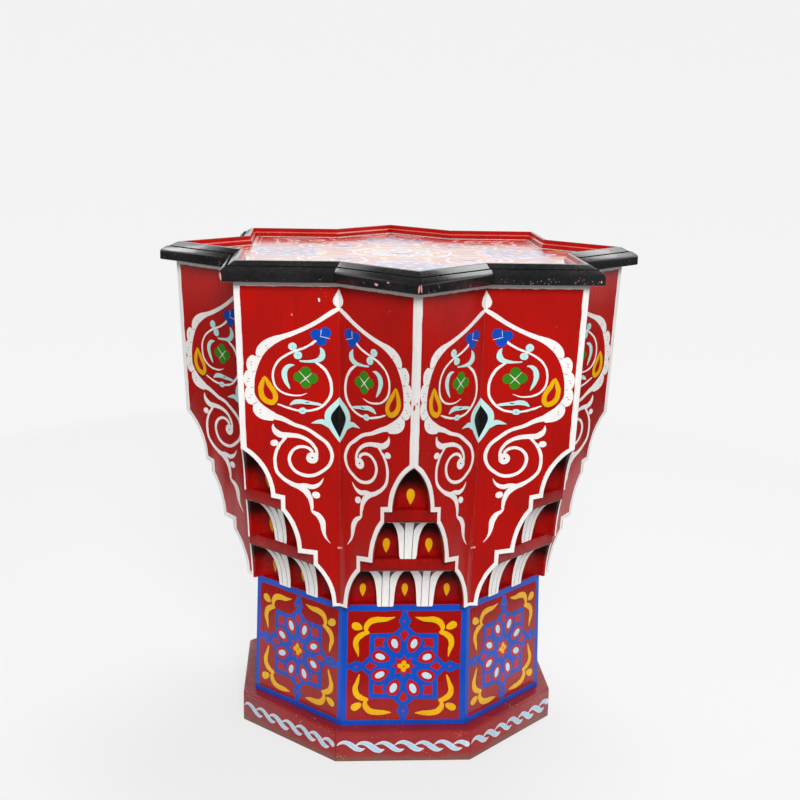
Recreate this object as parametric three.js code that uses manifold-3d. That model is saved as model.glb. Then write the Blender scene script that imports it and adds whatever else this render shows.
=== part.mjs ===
// Side table with the plan of an eight-pointed star, built of thin painted boards.
// A sunken tray top stands on sixteen upright star panels. Under each star point a carved infill
// of niches steps back to an octagonal pedestal, which stands in an octagonal plinth.
// Units are millimetres, +Z is up, the origin is on the floor under the middle of the table,
// and one star point looks along -Y.
import * as THREE from 'three';
import { mergeVertices } from 'three/addons/utils/BufferGeometryUtils.js';
import Module from 'manifold-3d';

const wasm = await Module();
wasm.setup();

// Star: the outline is two equal squares, one turned by half a right angle
const pointCount = 8;
const tipTurn = (2 * Math.PI) / pointCount;
const cornerTurn = Math.PI / pointCount;
const starPointRadius = 250;
const panelThickness = 10;
const bodyLeanShare = 0.05;
const jointGap = 0.32;
const overrun = 0.5;

// Heights, from the floor up
const plinthHeight = 35;
const pedestalHeight = 172.2;
const lowerRowHeight = 46.5;
const middleRowHeight = 47;
const upperRowHeight = 52;
const shelfThickness = 13.4;
const bandHeight = 172.2;
const trayThickness = 9.6;
const rimRise = 9.6;

// Lower edge of a star panel: places along its width, from the star point to the inner corner
const archFootShares = [0.288, 0.55, 0.913];
const stepEndShares = [0.386, 0.715];
const archSteps = 6;

// Pedestal and plinth
const pedestalThickness = 9;
const pedestalSetback = 5.9;
const pedestalFlare = 3.9;
const plinthThickness = 12.4;
const plinthRound = 2.4;
const middleBoardThickness = 12;
const baseBoardThickness = 12;

// Muqarnas infill
const nicheDepth = 15;
const infillWall = 8;
const pierWidth = 18.8;
const pierFootProjection = 1.2;
const pierSetback = 0.6;
const apexWidth = 1;
const nicheSquareShare = 0.8;
const nicheSteps = 6;
const rowSteps = 6;

// Rim moulding
const rimOverhang = 12.8;
const rimSeatWidth = 6.8;
const rimLap = 0.5;
const fasciaHeight = 10.6;
const crestWidth = 4;
const crestInset = 2;
const beadHeight = 4.2;
const rimGrooveWidth = 1.2;
const rimGrooveDepth = 0.8;
const slopeFallShares = [0.42, 0.5];

const red = 0xb51813;
const nicheRed = 0xa01612;
const black = 0x1c1b1b;
const trayPink = 0xd9b3a6;
const boardWood = 0xa98a62;

function paint(color) {
  return new THREE.MeshStandardMaterial({ color, roughness: 0.42, metalness: 0 });
}

// A closed geometry as a solid that can be joined and cut
function solidOf(geometry) {
  const bare = geometry.clone();
  bare.deleteAttribute('normal');
  bare.deleteAttribute('uv');
  const merged = mergeVertices(bare);
  const vertProperties = new Float32Array(merged.attributes.position.array);
  const triVerts = new Uint32Array(merged.index.array);
  return new wasm.Manifold(new wasm.Mesh({ numProp: 3, vertProperties, triVerts }));
}

function geometryOf(solid) {
  const { vertProperties, triVerts, numProp } = solid.getMesh();
  const geometry = new THREE.BufferGeometry();
  const positions = new Float32Array((vertProperties.length / numProp) * 3);
  for (let i = 0; i < positions.length / 3; i += 1) {
    for (let axis = 0; axis < 3; axis += 1) {
      positions[3 * i + axis] = vertProperties[numProp * i + axis];
    }
  }
  geometry.setAttribute('position', new THREE.BufferAttribute(positions, 3));
  geometry.setIndex(new THREE.BufferAttribute(new Uint32Array(triVerts), 1));
  geometry.computeVertexNormals();
  return geometry;
}

function shapeOf(points) {
  return new THREE.Shape(points.map(([x, y]) => new THREE.Vector2(x, y)));
}

// A plan outline raised from one height to another
function prism(points, low, high) {
  const geometry = new THREE.ExtrudeGeometry(shapeOf(points), { depth: high - low, bevelEnabled: false });
  return geometry.translate(0, 0, low);
}

// A section drawn as [distance out, height], carried along X as far as half its length each way
function bar(section, halfLength) {
  const depth = 2 * halfLength;
  const geometry = new THREE.ExtrudeGeometry(shapeOf(section), { depth, bevelEnabled: false });
  geometry.translate(0, 0, -halfLength);
  return geometry.rotateX(Math.PI / 2).rotateZ(Math.PI / 2);
}

// The plan of a board whose face is square to +Y and whose ends are mitred by planes through
// the table's middle, turned by fromTurn and toTurn off +Y, half a joint gap clear of each
function mitrePlan(fromTurn, toTurn, inner, outer) {
  const half = jointGap / 2;
  const from = (distance) => distance * Math.tan(fromTurn) + half / Math.cos(fromTurn);
  const to = (distance) => distance * Math.tan(toTurn) - half / Math.cos(toTurn);
  return [[from(inner), inner], [to(inner), inner], [to(outer), outer], [from(outer), outer]];
}

// Heights of the rows of niches, from the head of the pedestal up
const bodyFoot = pedestalHeight + jointGap;
const lowerRowTop = bodyFoot + lowerRowHeight;
const middleRowFoot = lowerRowTop + shelfThickness;
const middleRowTop = middleRowFoot + middleRowHeight;
const upperRowFoot = middleRowTop + shelfThickness;
const pointHeight = upperRowFoot + upperRowHeight;
const bodyTop = pointHeight + bandHeight;
const trayFoot = bodyTop + jointGap;
const trayFloor = trayFoot + trayThickness;
const rimTop = trayFloor + rimRise;

// Distance of a star side from the middle, and its length from the star point to the inner corner
const sideDistance = starPointRadius * Math.cos(tipTurn);
const panelWidth = sideDistance * (Math.tan(tipTurn) - Math.tan(cornerTurn));

// The body leans out from its foot to its top: every level is the plan drawn this much smaller
function leanAt(height) {
  return 1 + (bodyLeanShare * (height - bodyTop)) / starPointRadius;
}

function leaned(geometry) {
  const position = geometry.attributes.position;
  for (let i = 0; i < position.count; i += 1) {
    const scale = leanAt(position.getZ(i));
    position.setXY(i, position.getX(i) * scale, position.getY(i) * scale);
  }
  geometry.computeVertexNormals();
  return geometry;
}

// Rows of niches from the top down: each row's foot and top, and where the half-arch that the
// panel is sawn to starts and ends along its width
const archFeet = archFootShares.map((share) => share * panelWidth);
const stepEnds = stepEndShares.map((share) => share * panelWidth);
const rows = [
  { foot: upperRowFoot, top: pointHeight, start: 0, end: archFeet[0], niches: 1 },
  { foot: middleRowFoot, top: middleRowTop, start: stepEnds[0], end: archFeet[1], niches: 2 },
  { foot: bodyFoot, top: lowerRowTop, start: stepEnds[1], end: archFeet[2], niches: 3 },
];

// Half-arch: an arc that stands upright at its foot and leans over to its top
function archRadius(row) {
  const width = row.end - row.start;
  const height = row.top - row.foot;
  return (width * width + height * height) / (2 * width);
}

function archEdge(row, height) {
  const radius = archRadius(row);
  const rise = Math.min(Math.max(height - row.foot, 0), row.top - row.foot);
  return row.end - radius + Math.sqrt(radius * radius - rise * rise);
}

// Outline of a star panel as [distance from the star point, height], run past both mitred ends
function panelOutline() {
  const points = [[-overrun, bodyTop], [-overrun, pointHeight]];
  for (const row of rows) {
    const above = points[points.length - 1][1];
    if (row.start > 0) points.push([row.start, above]);
    const radius = archRadius(row);
    const fullTurn = Math.asin((row.top - row.foot) / radius);
    for (let i = 0; i <= archSteps; i += 1) {
      const turn = fullTurn * (1 - i / archSteps);
      points.push([row.end - radius + radius * Math.cos(turn), row.foot + radius * Math.sin(turn)]);
    }
  }
  const end = panelWidth + panelThickness;
  points.push([end, bodyFoot], [end, bodyTop]);
  return points;
}

// Star panel that lies to the right of its star point, seen from outside
function starPanel() {
  const inner = sideDistance - panelThickness;
  const tip = sideDistance * Math.tan(tipTurn);
  const outline = panelOutline().map(([along, height]) => [tip - along, height]);
  const depth = panelThickness + 2 * overrun;
  const slab = new THREE.ExtrudeGeometry(shapeOf(outline), { depth, bevelEnabled: false });
  slab.rotateX(Math.PI / 2).translate(0, sideDistance + overrun, 0);
  const plan = mitrePlan(cornerTurn, tipTurn, inner, sideDistance);
  const wedge = prism(plan, bodyFoot - overrun, bodyTop + overrun);
  return leaned(geometryOf(solidOf(slab).intersect(solidOf(wedge))));
}

// Plan places in an infill's own frame, with the star point along +Y
const backing = panelThickness + jointGap;
function besidePanel(along, depth) {
  const x = along * Math.cos(tipTurn) - depth * Math.sin(tipTurn);
  const y = starPointRadius - along * Math.sin(tipTurn) - depth * Math.cos(tipTurn);
  return [x, y];
}

const pedestalHeadReach = sideDistance * leanAt(bodyFoot) - pedestalSetback;
const pierFootReach = (pedestalHeadReach + pierFootProjection) / leanAt(bodyFoot);
const infillBack = pierFootReach - nicheDepth - infillWall;
const shelfReaches = stepEnds.map((along) => besidePanel(along, 0)[1]);

// Rear of every infill level: along the panel's back, the plane to the next infill and the back
function rearPlan() {
  const clear = jointGap / 2 / Math.cos(cornerTurn);
  const side = (y) => y * Math.tan(cornerTurn) - clear;
  const across = Math.tan(cornerTurn) * Math.sin(tipTurn) + Math.cos(tipTurn);
  const meet = (sideDistance - backing + clear * Math.sin(tipTurn)) / across;
  return [[side(meet), meet], [side(infillBack), infillBack]];
}

// How far up a row is open: to its top, or to where the backs of the two panels meet
function openRise(row) {
  const closing = backing * Math.tan(tipTurn) + apexWidth / 2 / Math.cos(tipTurn);
  const radius = archRadius(row);
  const offset = Math.max(closing - row.end + radius, 0);
  return Math.min(row.top - row.foot, Math.sqrt(Math.max(radius * radius - offset * offset, 0)));
}

// The front of a row at one height, from its right end to its left end
function rowFront(row, height, lowReach, highReach) {
  const share = Math.min((height - row.foot) / openRise(row), 1);
  const bulge = 1 - Math.sqrt(1 - share * share);
  const reach = lowReach + (highReach - lowReach) * bulge;
  const [mouthX, mouthY] = besidePanel(archEdge(row, height), backing);
  const topX = besidePanel(archEdge(row, row.top), backing)[0];
  const spacing = row.niches > 1 ? (2 * topX - apexWidth) / (row.niches - 1) : 0;
  const pierGrowth = (spacing - apexWidth) / 2 - pierWidth / 2;
  const pierHalf = pierWidth / 2 + pierGrowth * share * share;
  const ends = [[mouthX, mouthY]];
  for (let pier = 0; pier < row.niches - 1; pier += 1) {
    const centre = topX - apexWidth / 2 - spacing * (pier + 0.5);
    ends.push([centre + pierHalf, reach], [centre - pierHalf, reach]);
  }
  ends.push([-mouthX, mouthY]);
  const points = [];
  const depth = nicheDepth * Math.sqrt(1 - share * share) + apexWidth / 2;
  for (let niche = 0; niche < row.niches; niche += 1) {
    const right = ends[2 * niche];
    const left = ends[2 * niche + 1];
    for (let i = 0; i <= nicheSteps; i += 1) {
      const turn = (Math.PI * i) / nicheSteps;
      const across = Math.sign(Math.cos(turn)) * Math.abs(Math.cos(turn)) ** nicheSquareShare;
      const back = Math.max(Math.sin(turn), 0) ** nicheSquareShare;
      const along = (1 - across) / 2;
      const x = right[0] + (left[0] - right[0]) * along;
      points.push([x, right[1] + (left[1] - right[1]) * along - depth * back]);
    }
  }
  return points;
}

function closedPlan(front) {
  const [side, back] = rearPlan();
  return [...front, [-side[0], side[1]], [-back[0], back[1]], back, side];
}

// A solid through plans with the same number of points, drawn anticlockwise seen from above
function loft(levels) {
  const count = levels[0].plan.length;
  const positions = levels.flatMap(({ plan, height }) => plan.flatMap(([x, y]) => [x, y, height]));
  const index = [];
  for (let level = 0; level < levels.length - 1; level += 1) {
    for (let i = 0; i < count; i += 1) {
      const a = level * count + i;
      const b = level * count + ((i + 1) % count);
      index.push(a, b, b + count, a, b + count, a + count);
    }
  }
  const top = (levels.length - 1) * count;
  const flat = (plan) => plan.map(([x, y]) => new THREE.Vector2(x, y));
  for (const [a, b, c] of THREE.ShapeUtils.triangulateShape(flat(levels[0].plan), [])) {
    index.push(c, b, a);
  }
  for (const [a, b, c] of THREE.ShapeUtils.triangulateShape(flat(levels[levels.length - 1].plan), [])) {
    index.push(top + a, top + b, top + c);
  }
  const geometry = new THREE.BufferGeometry();
  geometry.setAttribute('position', new THREE.BufferAttribute(new Float32Array(positions), 3));
  geometry.setIndex(index);
  return geometry;
}

// One row of niches, run a little into what lies under and over it
function rowSolid(row, lowReach, highReach, sink) {
  const levels = [];
  for (let i = 0; i <= rowSteps; i += 1) {
    const height = row.foot + openRise(row) * Math.sin((Math.PI / 2) * (i / rowSteps));
    levels.push({ height, plan: closedPlan(rowFront(row, height, lowReach, highReach)) });
  }
  levels[0].height -= sink;
  const last = levels[levels.length - 1];
  levels.push({ height: last.height + overrun, plan: last.plan });
  return solidOf(loft(levels));
}

// A shelf runs between the sawn edges of the two panels, with its front face straight across
function shelfSolid(along, foot) {
  const outer = besidePanel(along - jointGap, 0);
  const inner = besidePanel(along - jointGap, backing);
  const front = [outer, [-outer[0], outer[1]], [-inner[0], inner[1]]];
  const plan = [inner, ...closedPlan(front)];
  return solidOf(prism(plan, foot, foot + shelfThickness - jointGap));
}

function muqarnasInfill() {
  const [upperReach, lowerReach] = shelfReaches;
  const tip = besidePanel(backing * Math.tan(tipTurn), backing);
  const roofFoot = upperRowFoot + openRise(rows[0]);
  const pieces = [
    shelfSolid(stepEnds[1], lowerRowTop),
    rowSolid(rows[1], lowerReach - pierSetback, upperReach - pierSetback, overrun),
    shelfSolid(stepEnds[0], middleRowTop),
    rowSolid(rows[0], upperReach, upperReach, overrun),
    solidOf(prism(closedPlan([tip]), roofFoot, roofFoot + infillWall)),
  ];
  let solid = rowSolid(rows[2], pierFootReach, lowerReach - pierSetback, 0);
  for (const piece of pieces) solid = solid.add(piece);
  return leaned(geometryOf(solid));
}

// Pedestal board: its face leans in a little from foot to head
const pedestalFootReach = pedestalHeadReach + pedestalFlare;
function pedestalReachAt(height) {
  return pedestalFootReach - (pedestalFlare * height) / pedestalHeight;
}

function octagonBar(section, inner, outer, low, high) {
  const plan = mitrePlan(-cornerTurn, cornerTurn, inner, outer);
  const wedge = solidOf(prism(plan, low - overrun, high + overrun));
  return geometryOf(solidOf(bar(section, outer)).intersect(wedge));
}

function pedestalBoard() {
  const section = [
    [pedestalFootReach - pedestalThickness, 0],
    [pedestalFootReach, 0],
    [pedestalHeadReach, pedestalHeight],
    [pedestalHeadReach - pedestalThickness, pedestalHeight],
  ];
  const inner = pedestalHeadReach - pedestalThickness - overrun;
  return octagonBar(section, inner, pedestalFootReach + overrun, 0, pedestalHeight);
}

// Plinth strip: its back follows the pedestal board and its top outer edge is rounded
function plinthStrip() {
  const outer = pedestalFootReach + jointGap + plinthThickness;
  const back = (height) => pedestalReachAt(height) + jointGap;
  const section = [[back(0), 0], [outer, 0]];
  const roundSteps = 3;
  for (let i = 0; i <= roundSteps; i += 1) {
    const turn = (Math.PI / 2) * (i / roundSteps);
    const x = outer - plinthRound * (1 - Math.cos(turn));
    section.push([x, plinthHeight - plinthRound * (1 - Math.sin(turn))]);
  }
  section.push([back(plinthHeight), plinthHeight]);
  return octagonBar(section, back(plinthHeight) - overrun, outer + overrun, 0, plinthHeight);
}

function octagonPlan(reach) {
  const points = [];
  for (let i = 0; i < pointCount; i += 1) {
    const angle = (2 * i + 1) * cornerTurn;
    const radius = reach / Math.cos(cornerTurn);
    points.push([radius * Math.cos(angle), radius * Math.sin(angle)]);
  }
  return points;
}

function starPlan(distance) {
  const points = [];
  for (let i = 0; i < 2 * pointCount; i += 1) {
    const radius = distance / Math.cos(i % 2 === 0 ? tipTurn : cornerTurn);
    const angle = i * cornerTurn;
    points.push([radius * Math.cos(angle), radius * Math.sin(angle)]);
  }
  return points;
}

// Rim moulding: it lies on the edge of the tray board and hangs down outside it
function rimSection() {
  const inner = sideDistance - rimSeatWidth;
  const outer = sideDistance + rimOverhang;
  const edge = sideDistance + jointGap;
  const seat = trayFloor + jointGap;
  const fasciaTop = bodyTop - rimLap + fasciaHeight;
  const crestInner = inner + crestInset;
  const crestOuter = crestInner + crestWidth;
  const slopeRun = outer - crestOuter;
  const slopeFall = rimTop - fasciaTop;
  const grooveX = crestOuter + slopeRun * slopeFallShares[0];
  const grooveZ = rimTop - slopeFall * slopeFallShares[1];
  return [
    [edge, seat],
    [inner, seat],
    [inner, trayFloor + beadHeight],
    [inner + crestInset / 2, trayFloor + beadHeight + crestInset / 2],
    [crestInner, rimTop - crestInset / 2],
    [crestInner + crestInset / 2, rimTop],
    [crestOuter, rimTop - crestInset / 4],
    [grooveX, grooveZ],
    [grooveX, grooveZ - rimGrooveDepth],
    [grooveX + rimGrooveWidth, grooveZ - rimGrooveDepth],
    [grooveX + rimGrooveWidth, grooveZ],
    [outer, fasciaTop],
    [outer, fasciaTop - fasciaHeight],
    [edge, fasciaTop - fasciaHeight],
  ];
}

function rimMoulding() {
  const outer = sideDistance + rimOverhang + overrun;
  const inner = sideDistance - rimSeatWidth - overrun;
  const plan = mitrePlan(cornerTurn, tipTurn, inner, outer);
  const wedge = solidOf(prism(plan, bodyTop - fasciaHeight, rimTop + overrun));
  return geometryOf(solidOf(bar(rimSection(), starPointRadius + outer)).intersect(wedge));
}

// The same piece for the other hand, with its faces turned back to point out
function mirrored(geometry) {
  const copy = geometry.clone().scale(-1, 1, 1);
  const index = copy.index.array;
  for (let i = 0; i < index.length; i += 3) {
    [index[i + 1], index[i + 2]] = [index[i + 2], index[i + 1]];
  }
  copy.computeVertexNormals();
  return copy;
}

const group = new THREE.Group();

function place(name, geometry, material, turn = 0) {
  const mesh = new THREE.Mesh(geometry, material);
  mesh.name = name;
  mesh.rotation.z = turn;
  group.add(mesh);
}

const panelRight = starPanel();
const panelLeft = mirrored(panelRight);
const rimRight = rimMoulding();
const rimLeft = mirrored(rimRight);
const infill = muqarnasInfill();
const pedestal = pedestalBoard();
const plinth = plinthStrip();
const redPaint = paint(red);
const nichePaint = paint(nicheRed);
const blackPaint = paint(black);

// A piece is drawn facing +Y. The first star point looks along -Y, and the count goes
// anticlockwise seen from above. A panel's face is turned off its star point by tipTurn.
for (let point = 1; point <= pointCount; point += 1) {
  const turn = Math.PI + tipTurn * (point - 1);
  place(`star_panel_${point}_right`, panelRight, redPaint, turn + tipTurn);
  place(`star_panel_${point}_left`, panelLeft, redPaint, turn - tipTurn);
  place(`rim_moulding_${point}_right`, rimRight, blackPaint, turn + tipTurn);
  place(`rim_moulding_${point}_left`, rimLeft, blackPaint, turn - tipTurn);
  place(`muqarnas_infill_${point}`, infill, nichePaint, turn);
  place(`pedestal_board_${point}`, pedestal, redPaint, turn);
  place(`plinth_strip_${point}`, plinth, redPaint, turn);
}

const middleReach = pedestalReachAt(pedestalHeight) - pedestalThickness - jointGap;
const middleFoot = pedestalHeight - middleBoardThickness;
place('tray_board', prism(starPlan(sideDistance), trayFoot, trayFloor), paint(trayPink));
place('middle_board', prism(octagonPlan(middleReach), middleFoot, pedestalHeight), paint(boardWood));
const baseReach = pedestalReachAt(baseBoardThickness) - pedestalThickness - jointGap;
place('base_board', prism(octagonPlan(baseReach), 0, baseBoardThickness), paint(boardWood));

export default group;
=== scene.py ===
"""Painted star side table: the looks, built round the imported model.

Every length in the classes below is in millimetres, as in the solids, and goes to metres only
when a mesh is made. Ornament is laid on as thin skins of paint, each a closed shell.
"""
import logging
import math
from dataclasses import dataclass, field, replace
from enum import Enum
from functools import partial

import bmesh
import bpy
import numpy as np
from mathutils import Matrix, Vector


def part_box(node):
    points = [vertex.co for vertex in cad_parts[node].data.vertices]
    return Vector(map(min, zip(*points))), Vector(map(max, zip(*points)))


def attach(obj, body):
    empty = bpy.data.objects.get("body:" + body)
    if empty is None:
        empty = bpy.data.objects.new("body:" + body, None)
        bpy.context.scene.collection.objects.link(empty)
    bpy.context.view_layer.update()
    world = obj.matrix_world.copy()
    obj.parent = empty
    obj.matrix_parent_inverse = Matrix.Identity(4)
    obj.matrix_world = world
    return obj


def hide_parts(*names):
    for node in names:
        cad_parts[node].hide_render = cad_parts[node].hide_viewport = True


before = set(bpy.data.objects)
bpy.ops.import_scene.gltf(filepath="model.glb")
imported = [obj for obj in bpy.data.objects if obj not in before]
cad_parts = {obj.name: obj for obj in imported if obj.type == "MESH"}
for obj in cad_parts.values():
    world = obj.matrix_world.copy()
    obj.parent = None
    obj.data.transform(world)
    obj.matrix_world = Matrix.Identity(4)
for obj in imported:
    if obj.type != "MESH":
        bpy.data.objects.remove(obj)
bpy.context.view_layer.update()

Array = np.ndarray
Colour = tuple[float, float, float, float]
Place = Array | tuple[float, float]
Line = Array | list[tuple[float, ...]]
Size3 = tuple[float, float, float]
Socket = bpy.types.NodeSocket

MM = 0.001
POINTS = 8
TIP = 2 * math.pi / POINTS
CORNER = math.pi / POINTS
QUARTER = math.pi / 2
# Settings that many shader nodes share: a soft fade, a product, a product plus a third
# value, and a mix of two colours
SMOOTH = {"interpolation_type": "SMOOTHSTEP"}
TIMES = {"operation": "MULTIPLY"}
TIMES_PLUS = {"operation": "MULTIPLY_ADD"}
MIXED = {"output": 2, "data_type": "RGBA"}
ONE_BODY = "root"
# Points of a shell become one where they agree to one of this many steps in a millimetre
WELDS_PER_MM = 1e4

logging.basicConfig(level=logging.INFO, format="%(message)s")
log = logging.getLogger("table")


# Materials

def hex_linear(code: str) -> Colour:
    """Turn an sRGB hex colour to linear: below 0.04045 divide by 12.92, above it a 2.4 power.

    Args:
        code: Colour such as "#B9120E".

    Returns:
        Linear red, green, blue and an alpha of 1.
    """
    value = np.array([int(code[i:i + 2], 16) for i in (1, 3, 5)]) / 255
    linear = np.where(value <= 0.04045, value / 12.92, ((value + 0.055) / 1.055) ** 2.4)
    return (*linear.tolist(), 1.0)


def add_node(tree: bpy.types.NodeTree, kind: str, sockets: dict | None = None,
             output: int | str = 0, **settings: object) -> Socket | None:
    """Add a node, set its properties, and fill or link its input sockets.

    Args:
        tree: Node tree that gets the node.
        kind: Node type after "ShaderNode", such as "Bump".
        sockets: Values or output sockets by input name or number.
        output: Name or number of the output that is asked for.
        settings: Property values by name.

    Returns:
        That output, or None where the node has none.
    """
    node = tree.nodes.new("ShaderNode" + kind)
    for name, value in settings.items():
        setattr(node, name, value)
    for key, value in (sockets or {}).items():
        if isinstance(value, Socket):
            tree.links.new(value, node.inputs[key])
        else:
            node.inputs[key].default_value = value
    return node.outputs[output] if node.outputs else None


def new_material(name: str) -> tuple[bpy.types.Material, partial]:
    """Make an empty node material.

    Args:
        name: Name of the material.

    Returns:
        The material, and add_node for its tree.
    """
    material = bpy.data.materials.new(name)
    material.use_nodes = True
    material.node_tree.nodes.clear()
    return material, partial(add_node, material.node_tree)


def cloudy(add: partial, size: Size3, detail: float = 2.0, roughness: float = 0.5) -> Socket:
    """Lay a cloudy pattern of a real size: Object coordinates divided by the lumps' size.

    Args:
        add: Function that adds a node to the material.
        size: Lump size in X, Y and Z in millimetres.
        detail: Number of finer layers.
        roughness: Strength of the finer layers.

    Returns:
        The pattern's value, about 0.5 on average.
    """
    scale = [1 / (MM * length) for length in size]
    spot = add("Mapping", {"Vector": add("TexCoord", output="Object"), "Scale": scale})
    return add("TexNoise", {"Vector": spot, "Scale": 1.0, "Detail": detail, "Roughness": roughness})


class Stroke(Enum):
    """Which way the brush was drawn when a board was painted, as the reach of one mark."""

    UPRIGHT = (1.8, 1.8, 55.0)
    LEVEL = (26.0, 26.0, 1.8)
    DABBED = (5.0, 5.0, 5.0)


@dataclass(frozen=True)
class BrushedEnamel:
    """Gloss oil enamel brushed on primed softwood.

    It is thick, so it levels to a shine, but it keeps shallow brush marks, a cloudy depth
    where the coat is thin, and small chips down to the pale primer.
    """

    name: str
    colour: str
    thin: str
    primer: str = "#D8A79C"
    roughness: float = 0.3
    gloss: float = 0.5
    coat: float = 0.12
    ior: float = 1.34
    stroke: Stroke = Stroke.UPRIGHT
    cloud: float = 0.5
    relief: float = 0.05
    chips: float = 0.0
    soil: str = "#6E5548"
    soil_top: float = 0.0
    # Dark colour of the painted shade below the niches' crowns, or none
    painted_crown_shade: str = ""

    def build(self) -> bpy.types.Material:
        """Build the node material: the brushed coat, with soil, painted shade below the niches' crowns,
        and chips on it.

        Returns:
            The material.
        """
        material, add = new_material(self.name)
        # Brush marks 1.8 mm apart are drawn a little coarser than bristles, so that they show
        height = marks = cloudy(add, self.stroke.value, 3.0, 0.6)
        cloud = cloudy(add, (42, 42, 60), 3.0, 0.55)
        both = add("Math", {0: marks, 1: 0.45}, **TIMES)
        both = add("Math", {0: cloud, 1: 0.55, 2: both}, **TIMES_PLUS)
        depth = add("MapRange", {0: both, 1: 0.38, 2: 0.62, 4: self.cloud}, **SMOOTH)
        colour = add("Mix", {0: depth, 6: hex_linear(self.colour), 7: hex_linear(self.thin)}, **MIXED)
        if self.soil_top:
            # Soil fades out at this height, which wanders by up to 9 mm
            level = self.uneven_height(add, (14, 14, 5), -9.0)
            dirty = add("MapRange", {0: level, 1: self.soil_top * MM, 2: -3 * MM, 4: 0.75}, **SMOOTH)
            colour = add("Mix", {0: dirty, 6: colour, 7: hex_linear(self.soil)}, **MIXED)
        # Painted shade: the red turns nearly black below each row of niches' crowns
        if self.painted_crown_shade:
            colour = self.with_painted_crown_shade(add, colour)
        if self.chips:
            # Chips are 1 to 2 mm wide and lie in groups some 30 mm apart
            spots, groups = cloudy(add, (1.7, 1.7, 1.7), 1.0), cloudy(add, (24, 24, 24), 1.0)
            spot = add("Math", {0: groups, 1: 0.55, 2: spots}, **TIMES_PLUS)
            edge = 1.2 - 0.16 * self.chips
            chip = add("MapRange", {0: spot, 1: edge, 2: edge + 0.02}, **SMOOTH)
            colour = add("Mix", {0: chip, 6: colour, 7: hex_linear(self.primer)}, **MIXED)
            height = add("Math", {0: chip, 1: -1.5, 2: height}, **TIMES_PLUS)
        uneven = add("MapRange", {0: both, 1: 0.3, 2: 0.7, 3: self.roughness * 0.8,
                                  4: self.roughness * 1.25}, **SMOOTH)
        # Orange peel, drawn 0.9 mm wide so that it shows
        peel = cloudy(add, (0.9, 0.9, 0.9), 1.0)
        height = add("Math", {0: peel, 1: 0.22, 2: height}, **TIMES_PLUS)
        bump = add("Bump", {"Strength": 1.0, "Distance": self.relief * MM, "Height": height})
        shader = add("BsdfPrincipled", {
            "Base Color": colour, "Roughness": uneven, "Coat Weight": self.gloss,
            "Coat Roughness": self.coat, "Coat IOR": self.ior, "IOR": self.ior, "Normal": bump})
        add("OutputMaterial", {0: shader})
        return material

    def uneven_height(self, add: partial, size: Size3, wander: float) -> Socket:
        """Height over the floor in metres, which wanders by a cloudy pattern.

        Args:
            add: Function that adds a node to the material.
            size: Size of the pattern's lumps.
            wander: How far it wanders at most, in millimetres.

        Returns:
            The height.
        """
        height = add("SeparateXYZ", {0: add("TexCoord", output="Object")}, "Z")
        return add("Math", {0: cloudy(add, size), 1: wander * MM, 2: height}, **TIMES_PLUS)

    def with_painted_crown_shade(self, add: partial, colour: Socket) -> Socket:
        """Paint shade below the crowns of the niches: a dark colour that stands in for the shadow there
        and fades out downwards.

        Args:
            add: Function that adds a node to the material.
            colour: Colour of the paint below it.

        Returns:
            The colour with its painted shade.
        """
        level = self.uneven_height(add, (5, 5, 5), 3.0)
        # Each row's painted shade is full from part way below its crown to just above it, and fades out
        # lower down
        for crown, reach in niche_crown_shades():
            foot, full, top, end = ((crown + off) * MM for off in (-reach, -0.45 * reach, 2.2, 2.6))
            under = add("MapRange", {0: level, 1: foot, 2: full}, **SMOOTH)
            over = add("MapRange", {0: level, 1: end, 2: top}, **SMOOTH)
            share = add("Math", {0: under, 1: over}, **TIMES)
            colour = add("Mix", {0: share, 6: colour, 7: hex_linear(self.painted_crown_shade)}, **MIXED)
        return colour


@dataclass(frozen=True)
class SawnPine:
    """Bare sawn pine: pale, matt, with darker growth rings and fine pores along the board."""

    name: str = "sawn pine"
    light: str = "#B99566"
    dark: str = "#8A6238"

    def build(self) -> bpy.types.Material:
        """Build the node material.

        Returns:
            The material.
        """
        material, add = new_material(self.name)
        # Growth rings about 7 mm apart, pores drawn 0.8 mm wide so that they show
        rings, pores = cloudy(add, (7, 160, 40), 2.0, 0.6), cloudy(add, (0.8, 22, 0.8), 2.0, 0.6)
        grain = add("Math", {0: pores, 1: 0.3, 2: rings}, **TIMES_PLUS)
        grain = add("MapRange", {0: grain, 1: 0.5, 2: 0.8}, **SMOOTH)
        colour = add("Mix", {0: grain, 6: hex_linear(self.light), 7: hex_linear(self.dark)}, **MIXED)
        bump = add("Bump", {"Strength": 1.0, "Distance": 0.15 * MM, "Height": pores})
        rough = add("MapRange", {0: rings, 1: 0.3, 2: 0.7, 3: 0.62, 4: 0.78}, **SMOOTH)
        shader = add("BsdfPrincipled", {"Base Color": colour, "Roughness": rough, "Normal": bump})
        add("OutputMaterial", {0: shader})
        return material


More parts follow.
